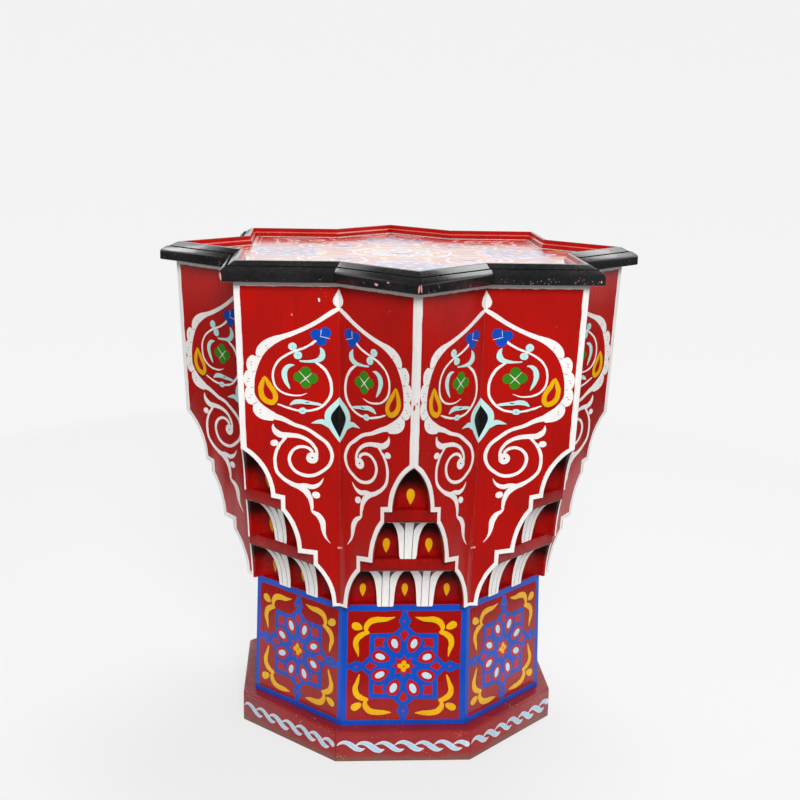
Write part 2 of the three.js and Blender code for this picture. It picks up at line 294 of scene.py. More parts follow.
class Paint(Enum):
    """Every paint on the table, as the finish that it is."""

    # Brushed on thickly: a bright shine over soft upright marks
    RED = BrushedEnamel("red gloss enamel", "#B60F08", "#A00F09", chips=0.3, cloud=0.75)
    # Dabbed where a brush can't run: cloudy and dull, with painted shade, nearly black, below the crowns
    NICHE = BrushedEnamel("red enamel in the niches", "#A80B06", "#860A07",
                          stroke=Stroke.DABBED, cloud=0.9, roughness=0.45, gloss=0.1,
                          painted_crown_shade="#2C0404")
    # One thinner coat: a darker and more even red
    STAND = BrushedEnamel("red gloss enamel of the pedestal", "#A10A05", "#8F0B06", cloud=0.7,
                          chips=0.2)
    # Rubbed and wiped for years: pinkish, dull, chipped, and soiled near the floor
    PLINTH = BrushedEnamel("rubbed red enamel of the plinth", "#992527", "#862122",
                           stroke=Stroke.LEVEL, roughness=0.42, gloss=0.25, chips=0.9,
                           soil_top=5.0, cloud=0.8, primer="#C59A86")
    # Thick black with small lumps: it breaks the backdrop's reflection into streaks
    RIM = BrushedEnamel("black gloss enamel", "#1D1C1D", "#282728", primer="#C9BDBB",
                        roughness=0.24, gloss=0.6, stroke=Stroke.DABBED, relief=0.12, chips=0.2,
                        ior=1.5, cloud=0.8)
    # The ornament's lines are single strokes, less glossy than their ground
    WHITE = BrushedEnamel("white gloss enamel", "#F6F4F1", "#E9E5E2", roughness=0.35,
                          primer="#8F8A88", chips=0.2, gloss=0.35, cloud=0.7)
    # Rubbed thin, so that the red below it shows through as chips
    ROPE = BrushedEnamel("rubbed white enamel of the rope", "#D2D5DD", "#BEC1CC",
                         roughness=0.45, primer="#A2605C", chips=0.5, gloss=0.2, cloud=0.8)
    ROPE_CORE = BrushedEnamel("rubbed pale blue enamel of the rope", "#A9CEDF", "#93BBD0",
                              roughness=0.45, primer="#A2605C", chips=0.3, gloss=0.2)
    # A painted highlight along the bead: a lighter red than the red beside it, and harder in its shine
    WORN = BrushedEnamel("red enamel worn bright along the bead", "#E2685A", "#CF463C",
                         roughness=0.3, ior=1.5)
    PALE = BrushedEnamel("pale turquoise gloss enamel", "#C6ECE8", "#A9DCDC", roughness=0.35,
                         gloss=0.35)
    DOT = BrushedEnamel("pale blue gloss enamel of the dots", "#C4DDEA", "#ABCDE2",
                        roughness=0.35, gloss=0.35)
    BLUE = BrushedEnamel("blue gloss enamel", "#0A4FBE", "#083FA4", roughness=0.35,
                         gloss=0.35, cloud=0.7)
    GREEN = BrushedEnamel("green gloss enamel", "#37881A", "#2E7718", roughness=0.35, gloss=0.35)
    GOLD = BrushedEnamel("golden yellow gloss enamel", "#ECB506", "#E0A004", roughness=0.35,
                         gloss=0.35, cloud=0.8)
    BLACK = BrushedEnamel("black enamel of the fine lines", "#151415", "#201F20", gloss=0.3)
    GREY = BrushedEnamel("dark grey enamel", "#3A3838", "#2F2E2E", gloss=0.2, roughness=0.45)
    CORE = BrushedEnamel("red enamel of the cells", "#BC120E", "#9F1310", gloss=0.35)
    # Matt undercoat and primer, which catch the eye as pale dots without a shine
    SPECK = BrushedEnamel("grey undercoat in specks", "#8E8A89", "#6B6766", roughness=0.6,
                          gloss=0.0)
    PRIMER = BrushedEnamel("bare primer in chips", "#D98F86", "#E9C3B8", roughness=0.6, gloss=0.0)
    # Painted shade in the groove: a blacker black than the rim's, with no gloss at all, so that the
    # groove reads as a dark line
    GROOVE = BrushedEnamel("dull black enamel in the groove", "#0F0F0F", "#161516",
                           roughness=0.9, gloss=0.0)
    # A thick clear varnish lies over the tray: it mirrors the backdrop and pales every colour
    TRAY = BrushedEnamel("varnished red enamel of the tray", "#C2352B", "#B02C25",
                         roughness=0.2, gloss=1.0, coat=0.14, ior=1.8,
                         stroke=Stroke.DABBED, relief=0.01, cloud=0.7)
    TRAY_WHITE = replace(TRAY, name="varnished white enamel", colour="#F0EDEA", thin="#E2DEDA")
    TRAY_PALE = replace(TRAY, name="varnished pale blue enamel", colour="#C2ECF0", thin="#A6DAE4")
    TRAY_BLUE = replace(TRAY, name="varnished blue enamel", colour="#0A4FCC", thin="#083CAA")
    TRAY_GREEN = replace(TRAY, name="varnished green enamel", colour="#2F8F14", thin="#277C12")
    TRAY_GOLD = replace(TRAY, name="varnished golden enamel", colour="#F6BC06", thin="#E69E04")
    TRAY_CORE = replace(TRAY, name="varnished red enamel of cells", colour="#BC120E", thin="#9F1310")
    PINE = SawnPine()

    def material(self) -> bpy.types.Material:
        """The paint's material, built the first time it is asked for."""
        found = bpy.data.materials.get(self.value.name)
        return found or self.value.build()


# Meshes

class Shells:
    """The closed shells of one piece, drawn as grids of points and welded shell by shell."""

    def __init__(self) -> None:
        """Start with nothing drawn."""
        self.points: list[Array] = []
        self.owner: list[Array] = []
        self.quads: list[Array] = []
        self.finish: list[Array] = []
        self.caps: list[tuple[Array, int]] = []
        self.count = 0
        self.shell = 0

    def grid(self, points: Array, finish: int | Array = 0, capped: bool = True,
             cap: int | None = None) -> None:
        """Add one shell: rings of points, joined ring to ring, with its two ends closed.

        Args:
            points: Rings by points by 3, each ring closed on itself.
            finish: Material number, one for all or one for each point round the ring.
            capped: Whether a face closes each end.
            cap: Material number of those faces, or None for the first one.
        """
        rings, around = points.shape[:2]
        index = np.arange(rings * around).reshape(rings, around) + self.count
        ahead = np.roll(index, -1, axis=1)
        quads = np.stack([index[:-1], ahead[:-1], ahead[1:], index[1:]], -1)
        self.points.append(points.reshape(-1, 3))
        self.owner.append(np.full(rings * around, self.shell))
        self.quads.append(quads.reshape(-1, 4))
        self.finish.append(np.broadcast_to(finish, quads.shape[:2]).reshape(-1))
        if capped:
            number = int(np.asarray(finish).reshape(-1)[0]) if cap is None else cap
            self.caps += [(index[0], number), (index[-1], number)]
        self.count += rings * around
        self.shell += 1

    def build(self, name: str, paints: list[Paint], smooth: float, slot: str,
              node: str | None = None) -> None:
        """Weld the shells, turn their faces out, and let the piece ride on the table.

        Points of one shell that fall on the same place become one. A face with a doubled
        corner becomes a triangle, and one with less than three corners goes.

        Args:
            name: Name of the piece.
            paints: Paints by material number.
            smooth: Largest angle in degrees that is shaded round.
            slot: The record's material slot; not used.
            node: CAD node that the piece stands for.
        """
        points = np.concatenate(self.points)
        keys = np.column_stack([np.concatenate(self.owner), np.rint(points * WELDS_PER_MM)])
        _, first, inverse = np.unique(keys, axis=0, return_index=True, return_inverse=True)
        inverse = inverse.reshape(-1)
        quads, finish = inverse[np.concatenate(self.quads)], np.concatenate(self.finish)
        same = quads == np.roll(quads, -1, axis=1)
        crossed = (quads[:, 0] == quads[:, 2]) | (quads[:, 1] == quads[:, 3])
        whole = ~same.any(1) & ~crossed
        three = (same.sum(1) == 1) & ~crossed
        corners = (same.argmax(1)[:, None] + 1 + np.arange(3)) % 4
        triangles = np.take_along_axis(quads, corners, 1)[three]
        caps = [(inverse[ring], number) for ring, number in self.caps]
        caps = [(ring[ring != np.roll(ring, 1)], number) for ring, number in caps]
        caps = [(ring, number) for ring, number in caps
                if len(ring) > 2 and len(set(ring.tolist())) == len(ring)]
        faces = quads[whole].tolist() + triangles.tolist() + [ring.tolist() for ring, _ in caps]
        numbers = np.concatenate([finish[whole], finish[three],
                                  np.array([number for _, number in caps], int)])
        mesh = bpy.data.meshes.new(name)
        mesh.from_pydata((points[first] * MM).tolist(), [], faces)
        mesh.polygons.foreach_set("material_index", numbers.astype(np.int32))
        mesh.validate()
        for paint in paints:
            mesh.materials.append(paint.material())
        shape = bmesh.new()
        shape.from_mesh(mesh)
        bmesh.ops.recalc_face_normals(shape, faces=shape.faces)
        shape.to_mesh(mesh)
        shape.free()
        mesh.shade_smooth()
        mesh.set_sharp_from_angle(angle=math.radians(smooth))
        piece = bpy.data.objects.new(name, mesh)
        bpy.context.scene.collection.objects.link(piece)
        settle(piece, node)


def settle(piece: bpy.types.Object, node: str | None) -> None:
    """Let a piece ride on the table, and log how its box compares with its node's.

    Args:
        piece: Finished piece.
        node: CAD node that it stands for.
    """
    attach(piece, ONE_BODY)
    note = ""
    if node:
        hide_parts(node)
        low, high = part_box(node)
        corners = np.array([list(c) for c in piece.bound_box])
        off = np.abs(np.concatenate([corners.min(0) - low, corners.max(0) - high])).max()
        note = f", box within {off / MM:.1f} mm of {node}"
    log.info("%s: %d faces%s", piece.name, len(piece.data.polygons), note)


def turned(points: Array, angle: float) -> Array:
    """Turn points about Z: x cos - y sin, x sin + y cos."""
    c, s = math.cos(angle), math.sin(angle)
    x, y = points[..., 0], points[..., 1]
    return np.stack([x * c - y * s, x * s + y * c, points[..., 2]], -1)


def joined(*columns: Array | float) -> Array:
    """Points from their columns; a number stands for a column of that number."""
    return np.stack(np.broadcast_arrays(*columns), axis=-1)


def way(angle: float) -> Array:
    """Step of length 1 in a direction: cosine and sine."""
    return np.array([math.cos(angle), math.sin(angle)])


def pointed(long: float, short: float) -> Array:
    """Outline of an eight-pointed star: its 16 corners reach out long and short in turn."""
    number = np.arange(2 * POINTS)
    radius = np.where(number % 2 == 0, long, short)
    return joined(radius * np.cos(number * CORNER), radius * np.sin(number * CORNER))


def through(points: Line, count: int, crowding: float = 0.4) -> Array:
    """Draw a smooth line through points.

    Each stretch is a Hermite cubic over its chord length, and the slope at a point is the
    central difference there. Samples lie closer near both ends, where a brush mark rounds off.

    Args:
        points: Points, with x and z first and any further columns carried along.
        count: Number of samples.
        crowding: How much closer they lie near the ends, from 0 to 1.

    Returns:
        The samples, with the same columns.
    """
    points = np.asarray(points, float)
    chord = np.maximum(np.linalg.norm(np.diff(points[:, :2], axis=0), axis=1), 1e-6)
    place = np.concatenate([[0], np.cumsum(chord)])
    slope = np.gradient(points, place, axis=0)
    even = np.linspace(0, 1, count)
    where = place[-1] * ((1 - crowding) * even + crowding * (0.5 - 0.5 * np.cos(np.pi * even)))
    i = np.clip(np.searchsorted(place, where, "right") - 1, 0, len(place) - 2)
    span = (place[i + 1] - place[i])[:, None]
    u = (where - place[i])[:, None] / span
    return ((2 * u**3 - 3 * u**2 + 1) * points[i] + (u**3 - 2 * u**2 + u) * span * slope[i]
            + (3 * u**2 - 2 * u**3) * points[i + 1] + (u**3 - u**2) * span * slope[i + 1])


def inset(ring: Array, amount: float) -> Array:
    """Draw a closed outline inwards: each corner moves along the mean of its sides' normals.

    Args:
        ring: Closed outline, points by 2.
        amount: Distance that each side moves.

    Returns:
        The smaller outline.
    """
    ahead = np.roll(ring, -1, axis=0) - ring
    ahead /= np.linalg.norm(ahead, axis=1, keepdims=True)
    behind = np.roll(ahead, 1, axis=0)
    area = np.sum(ring[:, 0] * np.roll(ring[:, 1], -1) - np.roll(ring[:, 0], -1) * ring[:, 1])
    side = np.sign(area)
    normal = joined(-(ahead + behind)[:, 1], (ahead + behind)[:, 0]) * side
    share = 1 + np.sum(ahead * behind, axis=1, keepdims=True)
    return ring + normal * amount / np.maximum(share, 0.35)


def rounded(corners: list[Size3], steps: int = 4) -> Array:
    """Round the corners of a closed section: a parabola replaces each corner.

    Args:
        corners: Corner places with the length that the rounding takes of each side.
        steps: Points round each corner, less one.

    Returns:
        The section's points.
    """
    data = np.array(corners, float)
    place, radius = data[:, :2], data[:, 2:]
    before, after = np.roll(place, 1, axis=0) - place, np.roll(place, -1, axis=0) - place
    start = place + before / np.linalg.norm(before, axis=1, keepdims=True) * radius
    end = place + after / np.linalg.norm(after, axis=1, keepdims=True) * radius
    t = np.linspace(0, 1, steps + 1)[None, :, None]
    curve = (1 - t)**2 * start[:, None] + 2 * t * (1 - t) * place[:, None] + t**2 * end[:, None]
    return curve.reshape(-1, 2)


# The body's shape

@dataclass(frozen=True)
class Row:
    """One row of niches, and the half-arch that the panels are sawn to beside it."""

    number: int
    foot: float
    top: float
    start: float
    end: float
    niches: int

    @property
    def radius(self) -> float:
        """Radius of the half-arch: (width squared + height squared) / (2 width)."""
        width, height = self.end - self.start, self.top - self.foot
        return (width**2 + height**2) / (2 * width)

    def edge(self, height: Array) -> Array:
        """Distance of the sawn edge from the star point at a height."""
        rise = np.clip(height - self.foot, 0, self.top - self.foot)
        return self.end - self.radius + np.sqrt(self.radius**2 - rise**2)

    def turn_at(self, along: float, wider: float = 0.0) -> float:
        """Turn on the half-arch, drawn wider, where it is this far from the star point."""
        share = (along - self.end + self.radius) / (self.radius + wider)
        return math.acos(min(max(share, -1.0), 1.0))

    def arc(self, turns: Array, wider: float = 0.0) -> Array:
        """Points of the half-arch, drawn wider, as distance from the star point and height."""
        radius = self.radius + wider
        along = self.end - self.radius + radius * np.cos(turns)
        return np.stack([along, self.foot + radius * np.sin(turns)], -1)


@dataclass(frozen=True)
class Body:
    """Sizes of the body, from the floor up and from the middle out."""

    point_radius: float = 250.0
    board: float = 10.0
    lean_share: float = 0.05
    gap: float = 0.32
    foot: float = 172.52
    shelf: float = 13.4
    row_heights: Size3 = (46.5, 47.0, 52.0)
    band: float = 172.2
    foot_shares: Size3 = (0.288, 0.55, 0.913)
    step_shares: tuple[float, float] = (0.386, 0.715)
    pedestal_head: float = 158.70
    plinth_top: float = 35.0
    tray_floor: float = 526.94
    rim_seat: float = 6.8
    lip: float = 4.2

    @property
    def side(self) -> float:
        """Distance of a star side from the middle."""
        return self.point_radius * math.cos(TIP)

    @property
    def width(self) -> float:
        """Length of a star side from the star point to the inner corner."""
        return self.side * (math.tan(TIP) - math.tan(CORNER))

    @property
    def rows(self) -> list[Row]:
        """The rows of niches from the top down."""
        low, middle, high = self.row_heights
        middle_foot = self.foot + low + self.shelf
        high_foot = middle_foot + middle + self.shelf
        ends = [share * self.width for share in self.foot_shares]
        steps = [share * self.width for share in self.step_shares]
        return [Row(0, high_foot, high_foot + high, 0.0, ends[0], 1),
                Row(1, middle_foot, middle_foot + middle, steps[0], ends[1], 2),
                Row(2, self.foot, self.foot + low, steps[1], ends[2], 3)]

    @property
    def top(self) -> float:
        """Height of the body's top edge."""
        return self.rows[0].top + self.band

    def lean(self, height: Array) -> Array:
        """Share by which a plan is drawn at a height, 1 at the top."""
        return 1 + self.lean_share * (height - self.top) / self.point_radius

    def leaned(self, points: Array) -> Array:
        """Draw the plan of every level smaller, as the body leans."""
        scale = self.lean(points[..., 2])
        return np.stack([points[..., 0] * scale, points[..., 1] * scale, points[..., 2]], -1)


BODY = Body()


class Hand(Enum):
    """Side of the star point that a piece lies on, seen from outside."""

    RIGHT = 1
    LEFT = -1

    @property
    def word(self) -> str:
        """The name in lower case."""
        return self.name.lower()


def point_turn(point: int) -> float:
    """Turn that brings a piece drawn towards +Y to this star point; the first looks to -Y."""
    return math.pi + TIP * (point - 1)


# Grounds to paint on

class Ground:
    """A surface that ornament is painted on."""

    def place(self, across: Array, up: Array, out: Array) -> Array:
        """Put ornament places on the surface.

        Args:
            across: Distance across the surface.
            up: Distance up it, or the height.
            out: Distance out of it.

        Returns:
            Points in space, with a last axis of 3.
        """
        raise NotImplementedError


@dataclass(frozen=True)
class SideFace(Ground):
    """Upright or leaning face of one side of the star; across is measured from the inner corner."""

    point: int
    hand: Hand
    reach: float = BODY.side
    leans: bool = True

    def place(self, across: Array, up: Array, out: Array) -> Array:
        """See Ground: x is the corner's reach plus across, y the side's distance plus out."""
        x = self.hand.value * (self.reach * math.tan(CORNER) + across)
        flat = joined(x, self.reach + out, up)
        flat = BODY.leaned(flat) if self.leans else flat
        return turned(flat, point_turn(self.point) + self.hand.value * TIP)


@dataclass
class OctagonFace(Ground):
    """Outer face of an upright board on one side of the octagon; across starts at its middle."""

    side_number: int
    foot_reach: float
    head_reach: float
    height: float

    def place(self, across: Array, up: Array, out: Array) -> Array:
        """See Ground: the face's distance falls evenly from its foot to its head."""
        reach = self.foot_reach + (self.head_reach - self.foot_reach) * up / self.height
        x = -across * reach / self.foot_reach
        return turned(joined(x, reach + out, up), point_turn(self.side_number))


@dataclass
class TrayFace(Ground):
    """Floor of the tray, seen from above, turned by an angle about the middle."""

    level: float
    turn: float = 0.0

    def place(self, across: Array, up: Array, out: Array) -> Array:
        """See Ground: across is x, up is y and out is the height over the floor."""
        return turned(joined(across, up, self.level + out), self.turn)


class Ornament:
    """Painted marks on one ground, each a thin closed skin of paint.

    The fixed measures are in millimetres, but for the angle, in degrees, and the shares.
    """

    # Largest angle that is shaded round
    smooth = 18.0
    # How deep a skin's edge lies below the ground, and how thick the paint is
    sunk = 0.06
    coat = 0.05
    # How much higher each layer stands, and how uneven its height is
    step = 0.06
    unevenness = 0.012
    # Width of a skin's rounded shoulder, and its height as a share of the crown's
    shoulder = 0.14
    shoulder_share = 0.9
    # Length of line for each sample, and the least width of a line
    sample = 1.7
    least_width = 0.05
    # Unevenness of a line's edges, and of a dab's breadth as a share
    waver = 0.1
    dab_waver = 0.03

    def __init__(self, ground: Ground, seed: int, hand_sway: float = 0.6) -> None:
        """Start an ornament.

        Args:
            ground: Surface to paint on.
            seed: Seed of this ornament's unevenness.
            hand_sway: How far the painter's hand drifts, in millimetres.
        """
        self.ground = ground
        self.random = np.random.default_rng(seed)
        self.phase = self.random.uniform(0, 2 * math.pi, 6)
        self.sway = hand_sway
        self.shells = Shells()
        self.paints: list[Paint] = []

    def number(self, paint: Paint) -> int:
        """Material number of a paint, added when it is new."""
        if paint not in self.paints:
            self.paints.append(paint)
        return self.paints.index(paint)

    def drift(self, places: Array) -> Array:
        """Shift places by slow sine waves, which fade out at the line where two boards meet.

        The waves take 17 to 39 mm for each radian, and the fading 9 mm.

        Args:
            places: Places on the ground.

        Returns:
            The shifted places.
        """
        x, z = places[:, 0], places[:, 1]
        fade = np.clip(np.abs(x) / 9, 0, 1)
        dx = np.sin(z / 21 + self.phase[0]) + np.sin(x / 17 + z / 39 + self.phase[1])
        dz = np.sin(x / 19 + self.phase[2]) + np.sin(z / 27 - x / 33 + self.phase[3])
        return places + 0.5 * self.sway * fade[:, None] * joined(dx, dz)

    def tremble(self, count: int, size: float) -> Array:
        """Small unevenness of a brush edge: a random value every third sample, joined evenly."""
        knots = max(count // 3, 2)
        return np.interp(np.linspace(0, 1, count), np.linspace(0, 1, knots),
                         self.random.normal(0, size, knots))

    def thickness(self, level: int) -> float:
        """How high the paint of a layer stands, a little uneven."""
        return self.coat + self.step * level + float(self.random.uniform(0, self.unevenness))

    def skin(self, paint: Paint, left: Array, right: Array, level: int = 1,
             closed: bool = False, sway: bool = True) -> None:
        """Lay a skin of paint between two lines.

        Across the skin lie five points: the foot, a shoulder a little way in, the crown in
        the middle, the other shoulder and foot. Higher levels lie on top of lower ones.

        Args:
            paint: Paint of the skin.
            left: One edge, samples by 2.
            right: Other edge, with as many samples.
            level: Layer of paint.
            closed: Whether the last samples meet the first.
            sway: Whether the painter's drift applies.
        """
        if sway:
            left, right = self.drift(left), self.drift(right)
        width = np.maximum(np.linalg.norm(right - left, axis=1), 1e-6)
        shoulder = np.minimum(self.shoulder, 0.3 * width) / width
        share = joined(0.0, shoulder, 0.5, 1 - shoulder, 1.0)
        thick = self.thickness(level)
        side = self.shoulder_share * thick
        crown = np.array([-self.sunk, side, thick, side, -self.sunk])
        across = left[:, None, :] + (right - left)[:, None, :] * share[..., None]
        out = np.broadcast_to(crown, share.shape)
        points = self.ground.place(across[..., 0], across[..., 1], out)
        self.shells.grid(points, self.number(paint), capped=not closed)

    def line(self, paint: Paint, points: Line, level: int = 1, count: int = 0) -> None:
        """Paint one brush line, its ends round where its width there isn't near nothing.

        Args:
            paint: Paint of the line.
            points: Places on the line, each as across, up and the line's width there.
            level: Layer of paint.
            count: Samples along it, or 0 to work them out from its length.
        """
        points = np.asarray(points, float)
        length = np.linalg.norm(np.diff(points[:, :2], axis=0), axis=1).sum()
        count = count or int(np.clip(length / self.sample, 9, 110))
        line = through(points, count)
        slope = np.gradient(line[:, :2], axis=0)
        slope /= np.maximum(np.linalg.norm(slope, axis=1, keepdims=True), 1e-9)
        normal = joined(-slope[:, 1], slope[:, 0])
        width = np.maximum(line[:, 2], self.least_width)
        step = np.linalg.norm(np.diff(line[:, :2], axis=0), axis=1)
        gone = np.concatenate([[0], np.cumsum(step)])
        left_over = np.minimum(gone, gone[-1] - gone) / (0.5 * width)
        half = 0.5 * (width * np.sqrt(np.clip(1 - np.clip(1 - left_over, 0, 1)**2, 0.004, 1)))
        give = np.minimum(1, half)
        upper = half + give * self.tremble(count, self.waver)
        lower = half + give * self.tremble(count, self.waver)
        self.skin(paint, line[:, :2] + normal * upper[:, None],
                  line[:, :2] - normal * lower[:, None], level)

    def blob(self, paint: Paint, centre: Place, length: float, breadth: float,
             angle: float = 0.0, level: int = 1, point: float = 0.0, count: int = 17) -> None:
        """Paint a round, oval or drop-shaped dab.

        Half its breadth is sin t times (1 - point cos t) over its own length, cos t, so a
        point above 0 draws one end thin.

        Args:
            paint: Paint of the dab.
            centre: Its middle.
            length: Its length.
            breadth: Its greatest breadth, about.
            angle: Turn of its length off the across axis, in degrees.
            level: Layer of paint.
            point: How pointed its far end is, from 0 to 1.
            count: Samples along it.
        """
        t = np.linspace(math.pi, 0, count)
        along = 0.5 * length * np.cos(t)
        half = 0.5 * breadth * np.sin(t) * (1 - point * np.cos(t))
        half = half * (1 + self.tremble(count, self.dab_waver))
        c, s = way(math.radians(angle))
        middle = np.array(centre, float)
        left = middle + joined(along * c - half * s, along * s + half * c)
        right = middle + joined(along * c + half * s, along * s - half * c)
        self.skin(paint, left, right, level)

    def cell(self, paint: Paint, outline: Line, level: int = 1, smooth: float = 0.0,
             centre: Place | None = None) -> None:
        """Paint a shape that its middle sees whole.

        Args:
            paint: Paint of the shape.
            outline: Corners in order.
            level: Layer of paint.
            smooth: Rounding of its corners.
            centre: Its middle, or None for the mean of the corners.
        """
        outline = np.asarray(outline, float)
        middle = outline.mean(0) if centre is None else np.asarray(centre, float)
        if smooth:
            outline = rounded([(*corner, smooth) for corner in outline.tolist()], 3)
        ring = self.drift(np.vstack([outline, outline[:1]]))
        thick = self.thickness(level)
        share = np.array([0.0, 0.0, 0.99, 1.0])
        middle = self.drift(middle[None])
        across = middle[:, None, :] + (ring - middle)[:, None, :] * share[None, :, None]
        out = np.broadcast_to(np.array([-self.sunk, thick, thick, -self.sunk]), across.shape[:2])
        points = self.ground.place(across[..., 0], across[..., 1], out)
        self.shells.grid(points, self.number(paint), capped=False)

    def build(self, name: str, slot: str) -> None:
        """Make the ornament's piece, with its name."""
        self.shells.build(name, self.paints, self.smooth, slot)


# Star panels

# Chips as place across, height, length, breadth and the paint that shows in them
PANEL_CHIPS = {
    "8_right": [(20.0, 498.0, 4.2, 2.2, Paint.WHITE), (47.0, 483.0, 2.4, 1.8, Paint.PRIMER)],
    "1_left": [(101.6, 405.0, 6.0, 2.4, Paint.CORE)],
    "1_right": [(102.2, 409.0, 3.4, 1.4, Paint.CORE)],
}


@dataclass
class SidePiece:
    """A piece on one side of the star: the star point that it belongs to, and its hand."""

    point: int
    hand: Hand

    @property
    def name(self) -> str:
        """Number and hand of the piece."""
        return f"{self.point}_{self.hand.word}"


@dataclass
class StarPanel(SidePiece):
    """One upright board of a star point, sawn below to three half-arches, and its ornament."""

    edge_ease: float = 0.35
    edge_paint: float = 1.4
    joint: float = 0.03
    step_dip: float = 2.2
    arch_samples: int = 22
    point_band: float = 6.2
    sawn_band: float = 4.8
    foot_band: float = 3.6
    top_band: float = 5.6
    # Unevenness of the borders, and how far they stay inside the board's edges
    border_waver: float = 0.22
    top_waver: float = 0.15
    edge_inset: float = 0.25
    top_inset: float = 0.2
    band_lap: float = 1.5
    upright_samples: int = 60
    top_samples: int = 90
    at_corner: float = 0.02
    face: SideFace = field(init=False)
    art: Ornament = field(init=False)

    def __post_init__(self) -> None:
        """Start the ornament on the panel's face."""
        self.face = SideFace(self.point, self.hand)
        self.art = Ornament(self.face, 40 + 2 * self.point + self.hand.value)

    def outline(self, depth: float) -> Array:
        """Outline of the board at a depth behind its face.

        Both ends are mitred: the star point's end by half a right angle and the inner
        corner's by half of that, each half a painted joint clear. The lower edge follows the
        arches, which are cut wider by as much as the depth grows past the lip.

        Args:
            depth: Distance behind the face.

        Returns:
            Points as distance from the star point and height.
        """
        start = depth * math.tan(TIP) + self.joint / 2 / math.cos(TIP)
        end = BODY.width + depth * math.tan(CORNER) - self.joint / 2 / math.cos(CORNER)
        undercut = max(depth - BODY.lip, 0.0)
        parts = [np.array([[start, BODY.top]])]
        above = BODY.top
        for row in BODY.rows:
            first = row.turn_at(start, undercut)
            if row.start:
                first = math.asin((row.top - row.foot) / (row.radius + undercut))
                parts.append(np.array([[row.start, above - self.step_dip],
                                       [row.start, row.top + self.edge_ease]]))
            parts.append(row.arc(np.linspace(first, 0, self.arch_samples), undercut))
            above = row.foot
        parts.append(np.array([[end, BODY.foot], [end, BODY.top]]))
        return np.concatenate(parts)

    def board(self) -> None:
        """Build the board: seven outlines behind each other, eased at the face and the back."""
        ease = self.edge_ease
        layers = [(0.0, ease), (0.3 * ease, 0.3 * ease), (ease, 0.0),
                  (self.edge_paint, 0.0), (BODY.lip, 0.0),
                  (BODY.board - ease, 0.0), (BODY.board, ease)]
        rings = []
        for depth, drawn_in in layers:
            ring = inset(self.outline(depth), drawn_in) if drawn_in else self.outline(depth)
            whole = self.outline(depth)
            ends = np.isclose(whole[:, 0], whole[:, 0].max()) | np.isclose(whole[:, 0], whole[0, 0])
            ring[ends, 0] = whole[ends, 0]
            rings.append(self.face.place(BODY.width - ring[:, 0], ring[:, 1], -depth))
        shells = Shells()
        # The white border runs on over the front of the sawn edge, and the rest of it takes the niches'
        # red with its painted shade below the crowns
        shells.grid(np.stack(rings), np.array([[1], [1], [1], [2], [2], [2]]), cap=0)
        shells.build(f"panel_{self.name}_board", [Paint.RED, Paint.WHITE, Paint.NICHE], 25.0,
                     "red_paint", f"star_panel_{self.name}")

    def borders(self) -> None:
        """Paint the white borders: under the rim, up the star point and along the sawn edge.

        The inner line of the sawn edge's border is the half-arch drawn wider by the border,
        cut off where it meets the border of the step below it.
        """
        art, trim, waver, count = self.art, self.at_corner, self.border_waver, self.arch_samples
        outer, inner = [], []
        for number, row in enumerate(BODY.rows):
            last = number == len(BODY.rows) - 1
            first_out = trim if number == 0 else row.start
            first_in = self.point_band if number == 0 else row.start + self.sawn_band
            if number:
                foot = BODY.rows[number - 1].foot - self.step_dip
                outer.append(np.array([[row.start, foot]]))
                inner.append(np.array([[first_in, foot + self.sawn_band]]))
            below = self.foot_band if last else self.sawn_band
            stop = math.asin(below / (row.radius + self.sawn_band))
            outer.append(row.arc(np.linspace(row.turn_at(first_out), 0, count)))
            inner.append(row.arc(np.linspace(row.turn_at(first_in, self.sawn_band), stop, count),
                                 self.sawn_band))
        outer.append(np.array([[BODY.width - trim, BODY.foot]]))
        inner.append(np.array([[BODY.width - trim, BODY.foot + self.foot_band]]))
        outer, inner = np.concatenate(outer), np.concatenate(inner)
        outer = outer + self.edge_inset
        size = len(inner)
        inner = inner + joined(art.tremble(size, waver), art.tremble(size, waver))
        corner, mirror = np.array([BODY.width, 0.0]), np.array([-1, 1])
        art.skin(Paint.WHITE, corner + outer * mirror, corner + inner * mirror, sway=False)
        size = self.upright_samples
        low = BODY.rows[0].arc(np.array([BODY.rows[0].turn_at(trim)]))[0, 1] + self.top_inset
        heights = np.linspace(low, BODY.top - self.top_band + self.band_lap, size)
        inside = BODY.width - self.point_band + art.tremble(size, waver)
        heights_in = np.linspace(low + 2 * self.top_inset, heights[-1], size)
        art.skin(Paint.WHITE, joined(BODY.width - trim, heights), joined(inside, heights_in),
                 sway=False)
        size = self.top_samples
        across = np.linspace(trim, BODY.width - trim, size)
        lower = BODY.top - self.top_band + art.tremble(size, self.top_waver)
        art.skin(Paint.WHITE, joined(across, BODY.top - self.top_inset), joined(across, lower),
                 sway=False)

    def arabesque(self) -> None:
        """Paint this panel's half of the arabesque that fills the inner corner."""
        art, white = self.art, Paint.WHITE
        # Finial drop over the ogee, half of it on each board
        drop = through([(0.3, 509.5), (2.2, 506), (4.6, 502), (6.1, 498), (5.4, 494.3), (2.8, 491.8),
            (0.3, 490.4)], 21)
        art.skin(white, joined(self.at_corner, drop[:, 1]), drop)
        self.ogee()
